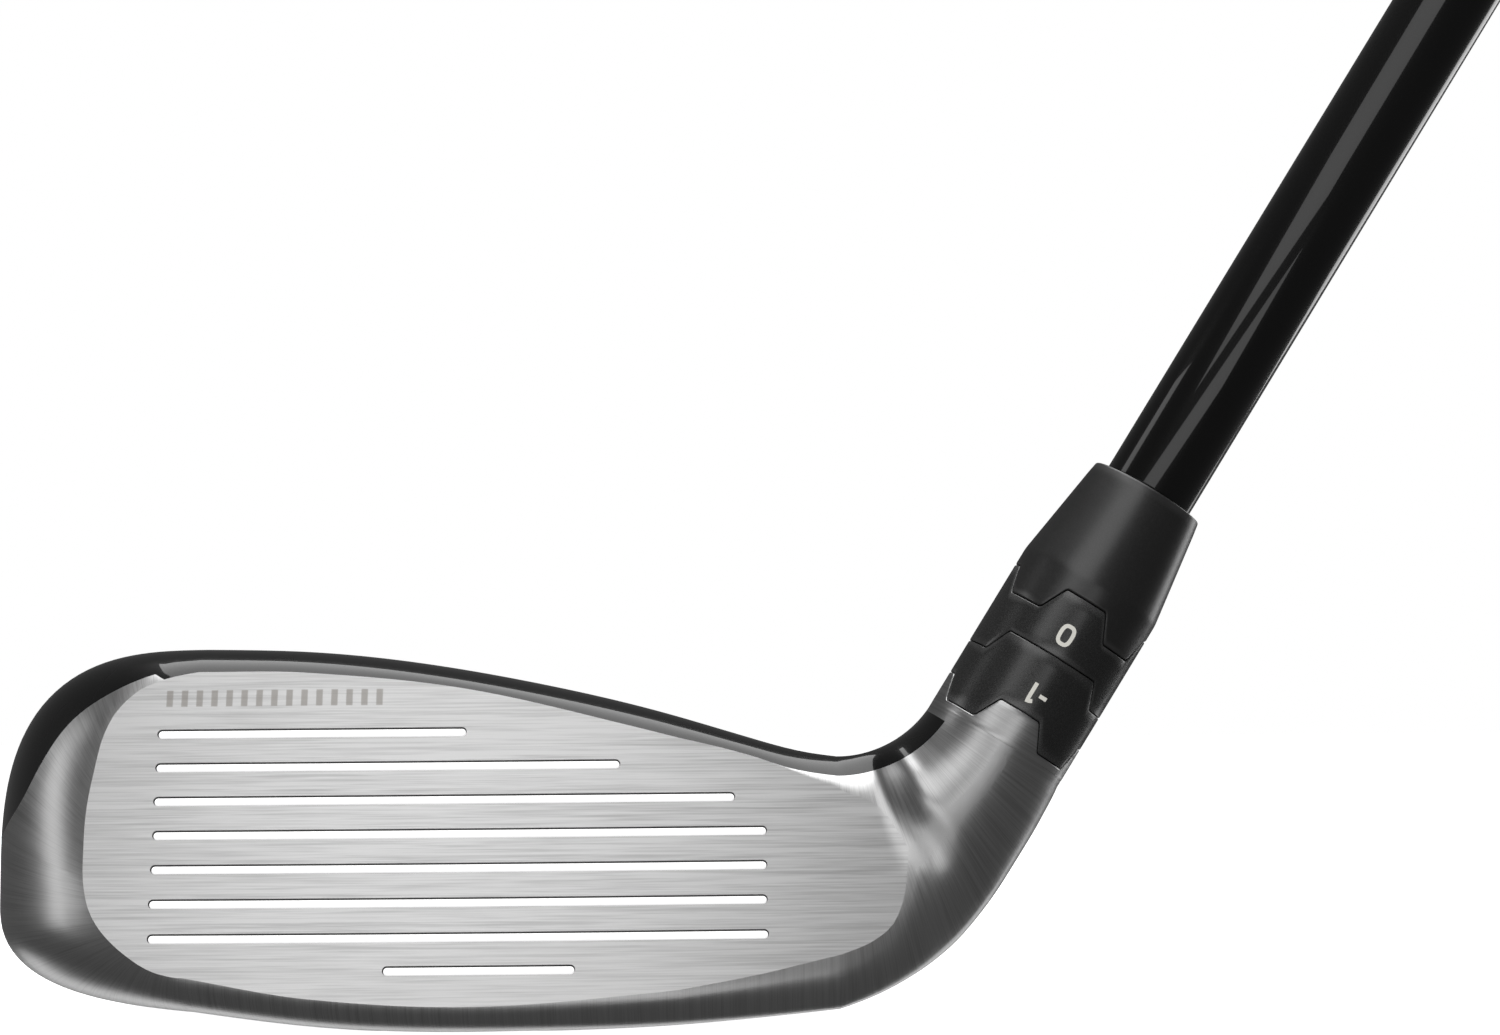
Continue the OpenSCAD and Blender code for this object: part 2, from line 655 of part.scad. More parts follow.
tape_t = 0.15;
module grip_tape() {
  a = grip_s + 4;
  b = club_length - cap_t - 2;
  color([0.85, 0.83, 0.75]) along(0) rotate_extrude() polygon([
    [shaft_r(a) + 0.02, a], [shaft_r(a) + tape_t, a],
    [shaft_r(b) + tape_t, b], [shaft_r(b) + 0.02, b]
  ]);
}
cap_r = 13.6;
mouth_r = 8.1;
function grip_bore(s) = shaft_r(s) + tape_t + 0.02;
module grip() {
  top = club_length - cap_t;
  color([0.06, 0.06, 0.06]) along(0) rotate_extrude() polygon([
    [grip_bore(grip_s), grip_s], [mouth_r - 0.6, grip_s], [mouth_r, grip_s + 1],
    [mouth_r + 0.5, grip_s + 20], [9.6, grip_s + 130], [grip_r, top - 48], [12.3, top - 16],
    [cap_r, top - 3], [cap_r, top], [grip_bore(top), top]
  ]);
}
module butt_cap() {
  color([0.05, 0.05, 0.05]) along(club_length - cap_t + 0.02) difference() {
    rotate_extrude() polygon([
      [0, 0], [cap_r, 0], [cap_r, 1.2], [cap_r - 0.8, 2.2], [cap_r - 3, cap_t - 0.02], [0, cap_t - 0.02]
    ]);
    translate([0, 0, -1]) cylinder(r = 1.3, h = cap_t + 2);
  }
}

head_body();
face_cup();
score_line_paint();
crown();
hosel_tube();
toe_stiffening_bar();
heel_stiffening_bar();
internal_weight();
weight_port();
rear_weight_screw();
hosel_screw();
screw_washer();
screw_retainer();
loft_cog();
loft_cog_mark();
lie_cog();
lie_cog_mark();
loft_cog_o_ring();
lie_cog_o_ring();
adapter_sleeve();
collar();
shaft();
tip_weight();
grip_tape();
grip();
butt_cap();
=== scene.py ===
"""Adjustable hybrid golf club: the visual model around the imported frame, with its studio."""
import logging
import math
from dataclasses import dataclass, field
from enum import Enum
from typing import Any, Callable, Sequence

import bmesh
import bpy
import numpy as np
from mathutils import Matrix, Vector
from mathutils.bvhtree import BVHTree


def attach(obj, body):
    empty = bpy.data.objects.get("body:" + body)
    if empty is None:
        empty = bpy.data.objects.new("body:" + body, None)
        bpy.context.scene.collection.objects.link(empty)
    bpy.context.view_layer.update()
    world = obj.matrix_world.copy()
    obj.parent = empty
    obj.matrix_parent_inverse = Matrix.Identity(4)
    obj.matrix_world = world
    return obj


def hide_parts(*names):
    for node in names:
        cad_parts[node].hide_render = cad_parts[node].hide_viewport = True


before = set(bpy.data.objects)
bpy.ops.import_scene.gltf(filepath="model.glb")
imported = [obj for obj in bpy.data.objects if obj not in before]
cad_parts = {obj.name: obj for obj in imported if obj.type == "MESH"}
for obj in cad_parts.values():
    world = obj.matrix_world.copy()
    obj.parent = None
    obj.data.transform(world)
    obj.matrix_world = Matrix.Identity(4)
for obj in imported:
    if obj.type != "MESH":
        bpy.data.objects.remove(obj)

LOG = logging.getLogger("hybrid_club")
MM = 0.001
SHARP = 35.0  # edges that turn more than this many degrees stay sharp
ROUND = 96  # columns around a turned piece
WELDS_PER_MM = 5000  # points nearer than one of these steps are the same point
Point = tuple[float, float, float]
Pairs = Sequence[tuple[float, float]]
Given = dict[Any, Any] | None
Finish = bpy.types.Material
Piece = bpy.types.Object


# ---------------------------------------------------------------------------
# Curves and small sums
# ---------------------------------------------------------------------------
def mix(a: float, b: float, w: float) -> float:
    """Blend a towards b by w."""
    return a + (b - a) * w


def clamp01(a: float) -> float:
    """Limit a to the range 0 to 1."""
    return min(1.0, max(0.0, a))


def smooth(a: float, b: float, t: float) -> float:
    """Smooth step of t from a to b."""
    u = clamp01((t - a) / (b - a))
    return u * u * (3 - 2 * u)


def steps(start: float, end: float, count: int) -> list[float]:
    """Evenly spaced values from start to end, both included."""
    return [start + (end - start) * k / count for k in range(count + 1)]


class Blend:
    """A curve through knots whose slope is continuous, level past its ends."""

    def __init__(self, knots: Pairs) -> None:
        """Keep the knots, as pairs of parameter and value."""
        self.knots = list(knots)

    def _slope(self, i: int) -> float:
        """Slope at knot i, from its neighbours."""
        a, b = max(i - 1, 0), min(i + 1, len(self.knots) - 1)
        return (self.knots[b][1] - self.knots[a][1]) / (self.knots[b][0] - self.knots[a][0])

    def __call__(self, t: float) -> float:
        """Value at parameter t."""
        i = 0
        while i < len(self.knots) - 2 and t > self.knots[i + 1][0]:
            i += 1
        (t0, v0), (t1, v1) = self.knots[i], self.knots[i + 1]
        w = t1 - t0
        u = clamp01((t - t0) / w)
        h = u * u * (3 - 2 * u)
        rise = self._slope(i) * w * u * (1 - u) ** 2
        fall = self._slope(i + 1) * w * u * u * (1 - u)
        return v0 * (1 - h) + v1 * h + rise - fall


class Fair:
    """A natural cubic spline through knots, fair enough for a polished surface."""

    def __init__(self, knots: Pairs) -> None:
        """Solve the spline's second derivatives once."""
        self.t = [k[0] for k in knots]
        self.v = [k[1] for k in knots]
        n = len(knots)
        system = np.eye(n)
        right = np.zeros(n)
        for i in range(1, n - 1):
            h0, h1 = self.t[i] - self.t[i - 1], self.t[i + 1] - self.t[i]
            system[i, i - 1], system[i, i], system[i, i + 1] = h0, 2 * (h0 + h1), h1
            right[i] = 6 * ((self.v[i + 1] - self.v[i]) / h1 - (self.v[i] - self.v[i - 1]) / h0)
        self.bend = [float(b) for b in np.linalg.solve(system, right)]

    def __call__(self, t: float) -> float:
        """Value at parameter t, level past the ends."""
        t = min(max(t, self.t[0]), self.t[-1])
        i = 0
        while i < len(self.t) - 2 and t > self.t[i + 1]:
            i += 1
        h = self.t[i + 1] - self.t[i]
        a, b = (self.t[i + 1] - t) / h, (t - self.t[i]) / h
        cubic = (a**3 - a) * self.bend[i] + (b**3 - b) * self.bend[i + 1]
        return a * self.v[i] + b * self.v[i + 1] + cubic * h * h / 6


# ---------------------------------------------------------------------------
# Mesh making
# ---------------------------------------------------------------------------
class MeshMaker:
    """Gathers points in millimetres and faces, and makes one welded mesh piece."""

    def __init__(self) -> None:
        """Start with no points."""
        self.points: list[Point] = []
        self.grain: list[Point] = []
        self.faces: list[tuple[int, ...]] = []
        self._seen: dict[tuple[int, int, int], int] = {}

    def point(self, p: Point, grain: Point = (0.0, 0.0, 0.0)) -> int:
        """Index of point p, shared with an earlier point at the same place."""
        key = tuple(round(c * WELDS_PER_MM) for c in p)
        found = self._seen.get(key)
        if found is None:
            found = len(self.points)
            self._seen[key] = found
            self.points.append(p)
            self.grain.append(grain)
        return found

    def face(self, corners: Sequence[int]) -> None:
        """Add a face, leaving out repeated corners and faces with no area."""
        kept: list[int] = []
        for c in corners:
            if not kept or c != kept[-1]:
                kept.append(c)
        if len(kept) > 1 and kept[0] == kept[-1]:
            kept.pop()
        if len(kept) >= 3 and len(set(kept)) == len(kept):
            self.faces.append(tuple(kept))

    def grid(self, rows: Sequence[Sequence[int]]) -> None:
        """Fill the quads between neighbouring rows of point indices."""
        for a, b in zip(rows, rows[1:]):
            for j in range(len(a) - 1):
                self.face((a[j], a[j + 1], b[j + 1], b[j]))

    def make(self, name: str, finishes: Sequence[Finish], sharp: float = SHARP) -> Piece:
        """Make the object.

        Args:
            name: the piece's name.
            finishes: one material for each slot.
            sharp: edges that turn more than this many degrees stay sharp.

        Returns:
            The new object, in metres, at the origin.
        """
        mesh = bpy.data.meshes.new(name)
        mesh.from_pydata([tuple(c * MM for c in p) for p in self.points], [], self.faces)
        layer = mesh.attributes.new("grain", "FLOAT_VECTOR", "POINT")
        layer.data.foreach_set("vector", [c * MM for g in self.grain for c in g])
        return finish_mesh(name, mesh, finishes, sharp)


def add_object(name: str, data: Any) -> Piece:
    """Link a new object that holds the data."""
    made = bpy.data.objects.new(name, data)
    bpy.context.scene.collection.objects.link(made)
    return made


def finish_mesh(name: str, mesh: bpy.types.Mesh, finishes: Sequence[Finish], sharp: float = SHARP) -> Piece:
    """Turn the faces outwards, set the shading and link the object."""
    work = bmesh.new()
    work.from_mesh(mesh)
    bmesh.ops.recalc_face_normals(work, faces=work.faces)
    work.to_mesh(mesh)
    work.free()
    mesh.validate()
    mesh.shade_smooth()
    mesh.set_sharp_from_angle(angle=math.radians(sharp))
    for finish in finishes:
        mesh.materials.append(finish)
    piece = add_object(name, mesh)
    return piece


def bake_modifiers(piece: Piece) -> None:
    """Turn the piece's modifiers into plain mesh and remove them."""
    depsgraph = bpy.context.evaluated_depsgraph_get()
    baked = bpy.data.meshes.new_from_object(piece.evaluated_get(depsgraph), depsgraph=depsgraph)
    piece.modifiers.clear()
    piece.data = baked


def carve(piece: Piece, cutters: Sequence[Piece]) -> None:
    """Cut the cutters out of the piece, and keep the smooth shading of what was there.

    Args:
        piece: a closed mesh.
        cutters: closed meshes, which are removed afterwards.
    """
    before = piece.data.copy()
    tree = BVHTree.FromPolygons([v.co for v in before.vertices], [tuple(p.vertices) for p in before.polygons])
    for cutter in cutters:
        cut = piece.modifiers.new(cutter.name, "BOOLEAN")
        cut.operation = "DIFFERENCE"
        cut.solver = "EXACT"
        cut.object = cutter
    bake_modifiers(piece)
    for cutter in cutters:
        bpy.data.objects.remove(cutter)
    mesh = piece.data
    mesh.shade_smooth()
    mesh.set_sharp_from_angle(angle=math.radians(SHARP))
    corner = [Vector(n.vector) for n in mesh.corner_normals]
    loops = before.corner_normals
    wanted: list[Vector] = list(corner)
    for face in mesh.polygons:
        for index in face.loop_indices:
            co = mesh.vertices[mesh.loops[index].vertex_index].co
            spot, _, found, gap = tree.find_nearest(co)
            if found is None or gap > 2e-6:
                continue
            old = before.polygons[found]
            if face.normal.dot(old.normal) < 0.9:
                continue
            total = Vector((0.0, 0.0, 0.0))
            for k in old.loop_indices:
                there = before.vertices[before.loops[k].vertex_index].co
                total += Vector(loops[k].vector) / ((there - spot).length + 1e-7)
            wanted[index] = total.normalized()
    mesh.normals_split_custom_set(wanted)
    bpy.data.meshes.remove(before)


# ---------------------------------------------------------------------------
# Shader maths
# ---------------------------------------------------------------------------
class Value:
    """A shader socket that can be used in Python sums."""

    def __init__(self, tree: "Tree", socket: bpy.types.NodeSocket) -> None:
        """Wrap one output socket of a tree."""
        self.tree = tree
        self.socket = socket

    def _math(self, operation: str, a: Any, b: Any = 0.0) -> "Value":
        """Add one Math node."""
        return self.tree.out("ShaderNodeMath", {"operation": operation}, {0: a, 1: b})

    def __add__(self, other: Any) -> "Value":
        """Sum."""
        return self._math("ADD", self, other)

    __radd__ = __add__

    def __mul__(self, other: Any) -> "Value":
        """Product."""
        return self._math("MULTIPLY", self, other)

    __rmul__ = __mul__

    def __sub__(self, other: Any) -> "Value":
        """Difference."""
        return self._math("SUBTRACT", self, other)

    def __rsub__(self, other: Any) -> "Value":
        """Difference from a number."""
        return self._math("SUBTRACT", other, self)

    def step(self, low: float, high: float) -> "Value":
        """Smooth step from low to high."""
        return self.tree.out(
            "ShaderNodeMapRange",
            {"interpolation_type": "SMOOTHSTEP"},
            {"Value": self, "From Min": low, "From Max": high},
        )

    def size(self) -> "Value":
        """The value without its sign."""
        return self._math("ABSOLUTE", self)

    def saw(self, length: float) -> "Value":
        """The remainder after whole lengths."""
        return self._math("FLOORED_MODULO", self, length)


class Tree:
    """A node tree that one finish is built in."""

    def __init__(self, nodes: bpy.types.NodeTree) -> None:
        """Start on an emptied tree."""
        self.tree = nodes
        self.tree.nodes.clear()

    def node(self, kind: str, settings: Given = None, sockets: Given = None) -> bpy.types.Node:
        """Add a node.

        Args:
            kind: the node's type.
            settings: properties of the node, which are set first.
            sockets: input names or numbers, each with a value or a link.

        Returns:
            The new node.
        """
        made = self.tree.nodes.new(kind)
        for key, value in (settings or {}).items():
            setattr(made, key, value)
        for key, value in (sockets or {}).items():
            socket = made.inputs[key]
            if isinstance(value, Value):
                self.tree.links.new(value.socket, socket)
            elif isinstance(value, bpy.types.NodeSocket):
                self.tree.links.new(value, socket)
            else:
                socket.default_value = value
        return made

    def out(self, kind: str, settings: Given = None, sockets: Given = None, output: Any = 0) -> Value:
        """Add a node and return one of its outputs."""
        return Value(self, self.node(kind, settings, sockets).outputs[output])

    def place(self) -> Value:
        """Object coordinates, in metres."""
        return self.out("ShaderNodeTexCoord", output="Object")

    def scaled(self, vector: Value, by: Point) -> Value:
        """A vector scaled along each axis."""
        return self.out("ShaderNodeVectorMath", {"operation": "MULTIPLY"}, {0: vector, 1: by})

    def noise(self, vector: Value, scale: float, detail: float = 3.0, rough: float = 0.5) -> Value:
        """Smooth noise from 0 to 1."""
        sockets = {"Vector": vector, "Scale": scale, "Detail": detail, "Roughness": rough}
        return self.out("ShaderNodeTexNoise", {"noise_dimensions": "3D"}, sockets)

    def parts(self, vector: Value) -> tuple[Value, Value, Value]:
        """The three parts of a vector."""
        split = self.node("ShaderNodeSeparateXYZ", None, {0: vector})
        return tuple(Value(self, split.outputs[k]) for k in range(3))

    def blend(self, weight: Any, a: Any, b: Any) -> Value:
        """Mix two colours, given as links or as triples."""
        made = self.node("ShaderNodeMix", {"data_type": "RGBA"})
        for number, given in ((0, weight), (6, a), (7, b)):
            if isinstance(given, Value):
                self.tree.links.new(given.socket, made.inputs[number])
            else:
                made.inputs[number].default_value = given if number == 0 else (*given, 1.0)
        return Value(self, made.outputs[2])

    def bump(self, height: Value, strength: float, distance: float) -> Value:
        """A bump from a height."""
        sockets = {"Height": height, "Strength": strength, "Distance": distance}
        return self.out("ShaderNodeBump", None, sockets)


def new_finish(name: str, fill: Callable[[Tree], dict[str, Any]]) -> Finish:
    """Make a material whose surface takes the sockets that fill returns."""
    material = bpy.data.materials.new(name)
    material.use_nodes = True
    tree = Tree(material.node_tree)
    surface = tree.node("ShaderNodeBsdfPrincipled", None, fill(tree))
    tree.node("ShaderNodeOutputMaterial", None, {0: surface.outputs[0]})
    return material


Shade = tuple[float, float, float]


def grey(value: float, warm: float = 0.0) -> Shade:
    """A near neutral colour."""
    return (value * (1 + warm), value, value * (1 - warm))


@dataclass(frozen=True)
class Coating:
    """A named finish, whose fill gives its surface."""

    name: str

    def make(self) -> Finish:
        """Build the material."""
        return new_finish(self.name, self._fill)

    def _fill(self, t: Tree) -> dict[str, Any]:
        """The surface's sockets, given by each finish."""
        raise NotImplementedError


class Brushing(Enum):
    """The way the brushing runs over a steel surface."""

    ACROSS_FACE = "across_face"
    OVER_EDGE = "over_edge"


@dataclass(frozen=True)
class BrushedSteel(Coating):
    """Steel with fine straight brushing."""

    run: Brushing
    tone: float = 0.62
    roughness: float = 0.3
    depth: float = 0.00002

    def _fill(self, t: Tree) -> dict[str, Any]:
        """Lines at three widths, stretched along the brushing."""
        if self.run is Brushing.ACROSS_FACE:
            place = t.place()
            fine = t.noise(t.scaled(place, (110, 300, 5600)), 1.0, 3.0)
            wide = t.noise(t.scaled(place, (38, 120, 2000)), 1.0, 3.0, 0.6)
            broad = t.noise(t.scaled(place, (12, 40, 60)), 1.0, 2.0)
        else:
            place = t.out("ShaderNodeAttribute", {"attribute_name": "grain"}, output="Vector")
            fine = t.noise(t.scaled(place, (11000, 140, 1)), 1.0, 3.0)
            wide = t.noise(t.scaled(place, (3200, 60, 1)), 1.0, 3.0, 0.6)
            broad = t.noise(t.scaled(t.place(), (50, 50, 50)), 1.0, 2.0)
        lines = fine * 0.55 + wide * 0.45
        low = 0.70 if self.run is Brushing.ACROSS_FACE else 0.80
        shade = t.blend(lines.step(0.30, 0.62), grey(self.tone * low), grey(self.tone * 1.08))
        shade = t.blend(broad.step(0.3, 0.7) * 0.25, shade, grey(self.tone * 0.93, 0.006))
        rough = self.roughness + (lines - 0.5) * 0.22 + (broad - 0.5) * 0.05
        return {
            "Base Color": shade,
            "Metallic": 1.0,
            "Roughness": rough,
            "Normal": t.bump(lines, 0.35, self.depth),
        }


@dataclass(frozen=True)
class EtchedFace(BrushedSteel):
    """Brushed steel with a plain row of etched ticks above the score lines."""

    def _fill(self, t: Tree) -> dict[str, Any]:
        """Brushing, with the ticks a little browner and duller."""
        base = super()._fill(t)
        x, _, z = t.parts(t.place())
        along = (x + 0.0316).saw(0.0015)
        tick = (0.00032 - (along - 0.00075).size()).step(-0.00005, 0.00005)
        row = (0.0008 - (z - 0.0326).size()).step(-0.00005, 0.00005)
        span = (x + 0.0316).step(-0.0001, 0.0001) * (-0.0091 - x).step(-0.0001, 0.0001)
        mask = tick * row * span
        base["Base Color"] = t.blend(mask * 0.55, base["Base Color"], (0.33, 0.30, 0.27))
        base["Roughness"] = base["Roughness"] + mask * 0.15
        return base


@dataclass(frozen=True)
class Lacquer(Coating):
    """Deep gloss black with a faint orange peel and fine dust."""

    tone: float = 0.006
    roughness: float = 0.28
    coat: float = 1.0

    def _fill(self, t: Tree) -> dict[str, Any]:
        """Lacquer over black."""
        place = t.place()
        peel = t.noise(place, 900.0, 2.0)
        flake = t.noise(place, 9000.0, 1.0)
        haze = t.noise(place, 60.0, 3.0)
        shade = t.blend(flake.step(0.62, 0.75), grey(self.tone), grey(self.tone * 2.6))
        return {
            "Base Color": shade,
            "Roughness": self.roughness + (haze - 0.5) * 0.08,
            "Specular IOR Level": 0.15,
            "Coat Weight": self.coat,
            "Coat Roughness": 0.03,
            "Normal": t.bump(peel, 0.05, 0.00003),
        }


@dataclass(frozen=True)
class Anodised(Coating):
    """Satin black anodised or moulded surface, paler in patches on its bevelled rims as a painted edge glint.
    """

    tone: float = 0.02
    roughness: float = 0.36
    metallic: float = 0.0
    # Tone of the painted edge glint on the bevelled rims.
    edge: float = 0.10

    def _fill(self, t: Tree) -> dict[str, Any]:
        """Fine grain, with the rims from the piece's own attribute painted paler as an edge glint."""
        place = t.place()
        grain = t.noise(place, 7000.0, 2.0)
        cloud = t.noise(place, 220.0, 3.0)
        rim, _, _ = t.parts(t.out("ShaderNodeAttribute", {"attribute_name": "grain"}, output="Vector"))
        # Painted highlight: the bevelled rims turn paler in cloudy patches as an edge glint.
        edge_glint = (rim * 1000.0).step(0.2, 0.9) * cloud.step(0.25, 0.6)
        shade = t.blend(grain.step(0.35, 0.7), grey(self.tone * 0.75), grey(self.tone * 1.3))
        return {
            "Base Color": t.blend(edge_glint, shade, grey(self.edge)),
            "Metallic": self.metallic,
            "Roughness": self.roughness + (grain - 0.5) * 0.10 + (cloud - 0.5) * 0.06,
            "Specular IOR Level": 1.0,
            "Normal": t.bump(grain, 0.12, 0.00002),
        }


@dataclass(frozen=True)
class Paint(Coating):
    """Plain infill paint, faintly uneven, which can glow by its own emission as painted light."""

    shade: Shade
    roughness: float = 0.45
    # Emission strength of the paint: a painted glow, brighter than the lamps alone would make it.
    glow: float = 0.0

    def _fill(self, t: Tree) -> dict[str, Any]:
        """Slight mottling, a soft surface, and an emission that paints a glow."""
        place = t.place()
        mottle = t.noise(place, 1400.0, 2.0)
        low = tuple(c * 0.94 for c in self.shade)
        return {
            "Base Color": t.blend(mottle.step(0.3, 0.7), low, self.shade),
            "Roughness": self.roughness + (mottle - 0.5) * 0.1,
            # Emission in the paint's own colour: painted light, since the paint glows though it is no lamp.
            "Emission Color": (*self.shade, 1.0),
            "Emission Strength": self.glow,
            "Normal": t.bump(mottle, 0.1, 0.00003),
        }


@dataclass(frozen=True)
class Turned(Coating):
    """Machined or cast metal of an inner piece."""

    shade: Shade
    roughness: float = 0.3
    metallic: float = 1.0
    scale: float = 2500.0

    def _fill(self, t: Tree) -> dict[str, Any]:
        """Fine tool marks and slow staining."""
        place = t.place()
        marks = t.noise(place, self.scale, 3.0)
        stain = t.noise(place, 90.0, 3.0)
        dark = tuple(c * 0.78 for c in self.shade)
        return {
            "Base Color": t.blend(stain.step(0.35, 0.7), self.shade, dark),
            "Metallic": self.metallic,
            "Roughness": self.roughness + (marks - 0.5) * 0.15,
            "Normal": t.bump(marks, 0.2, 0.00003),
        }


@dataclass(frozen=True)
class Rubber(Coating):
    """Moulded rubber with a fine grain."""

    shade: Shade
    roughness: float = 0.75
    grain: float = 3000.0

    def _fill(self, t: Tree) -> dict[str, Any]:
        """Grain, and a greyer bloom in places."""
        place = t.place()
        pores = t.noise(place, self.grain, 3.0)
        bloom = t.noise(place, 45.0, 3.0)
        pale = tuple(c * 1.8 + 0.004 for c in self.shade)
        return {
            "Base Color": t.blend(bloom.step(0.4, 0.75) * 0.5, self.shade, pale),
            "Roughness": self.roughness + (pores - 0.5) * 0.2,
            "Normal": t.bump(pores, 0.35, 0.00008),
        }


@dataclass(frozen=True)
class Weave(Coating):
    """Tape with crossed threads."""

    shade: Shade

    def _fill(self, t: Tree) -> dict[str, Any]:
        """Two sets of threads in object space."""
        place = t.place()
        thread = {"Vector": place, "Scale": 700.0, "Distortion": 0.6}
        warp = t.out("ShaderNodeTexWave", {"bands_direction": "X"}, thread)
        weft = t.out("ShaderNodeTexWave", {"bands_direction": "Z"}, thread)
        threads = warp * weft
        dark = tuple(c * 0.7 for c in self.shade)
        return {
            "Base Color": t.blend(threads, dark, self.shade),
            "Roughness": 0.85 + (threads - 0.5) * 0.1,
            "Normal": t.bump(threads, 0.3, 0.0001),
        }


# ---------------------------------------------------------------------------
# The hosel's axis
# ---------------------------------------------------------------------------
LIE = math.radians(58.0)
AXIS_FOOT = (34.3, 0.0)
ALONG = (math.cos(LIE), 0.0, math.sin(LIE))
ACROSS = (math.sin(LIE), 0.0, -math.cos(LIE))


def on_axis(s: float, across: float = 0.0, depth: float = 0.0) -> Point:
    """A point s up the axis, moved across it and back from it, in millimetres."""
    return (
        AXIS_FOOT[0] + ALONG[0] * s + ACROSS[0] * across,
        AXIS_FOOT[1] + depth,
        ALONG[2] * s + ACROSS[2] * across,
    )


def around(s: float, radius: float, angle: float) -> Point:
    """A point on a circle about the axis; angle 0 lies across it, and 90 degrees is at the back."""
    return on_axis(s, radius * math.cos(angle), radius * math.sin(angle))


def revolve(name: str, profile: Pairs, finish: Finish, count: int = ROUND, sharp: float = SHARP) -> Piece:
    """Turn a closed profile about the shaft's axis.

    Args:
        name: the piece's name.
        profile: pairs of radius and station, in order around the section.
        finish: the material.
        count: how many columns.
        sharp: the sharp edge angle in degrees.

    Returns:
        The new piece.
    """
    maker = MeshMaker()
    columns = [[maker.point(around(s, r, math.tau * k / count)) for r, s in profile] for k in range(count)]
    maker.grid([c + [c[0]] for c in columns] + [columns[0] + [columns[0][0]]])
    return maker.make(name, [finish], sharp)


def rounded(corners: Pairs, radius: float, count: int) -> list[tuple[float, float]]:
    """Round each corner of a closed outline with a small curve."""
    out: list[tuple[float, float]] = []
    n = len(corners)
    for i, here in enumerate(corners):
        before, after = corners[i - 1], corners[(i + 1) % n]
        ends = []
        for other in (before, after):
            d = math.dist(here, other)
            reach = min(radius, d * 0.45)
            ends.append(tuple(h + (o - h) * reach / d for h, o in zip(here, other)))
        for k in range(count + 1):
            u = k / count
            a, b, c = (1 - u) ** 2, 2 * u * (1 - u), u * u
            out.append(tuple(a * ends[0][i] + b * here[i] + c * ends[1][i] for i in range(2)))
    return out


# ---------------------------------------------------------------------------
# The head's surface
# ---------------------------------------------------------------------------
class Side(Enum):
    """Which family a rib belongs to."""

    UPPER = "upper"
    LOWER = "lower"
    FAN = "fan"


@dataclass(frozen=True)
class Rib:
    """A line from the middle of the front, over the edge, to the middle of the back."""

    side: Side
    at: float


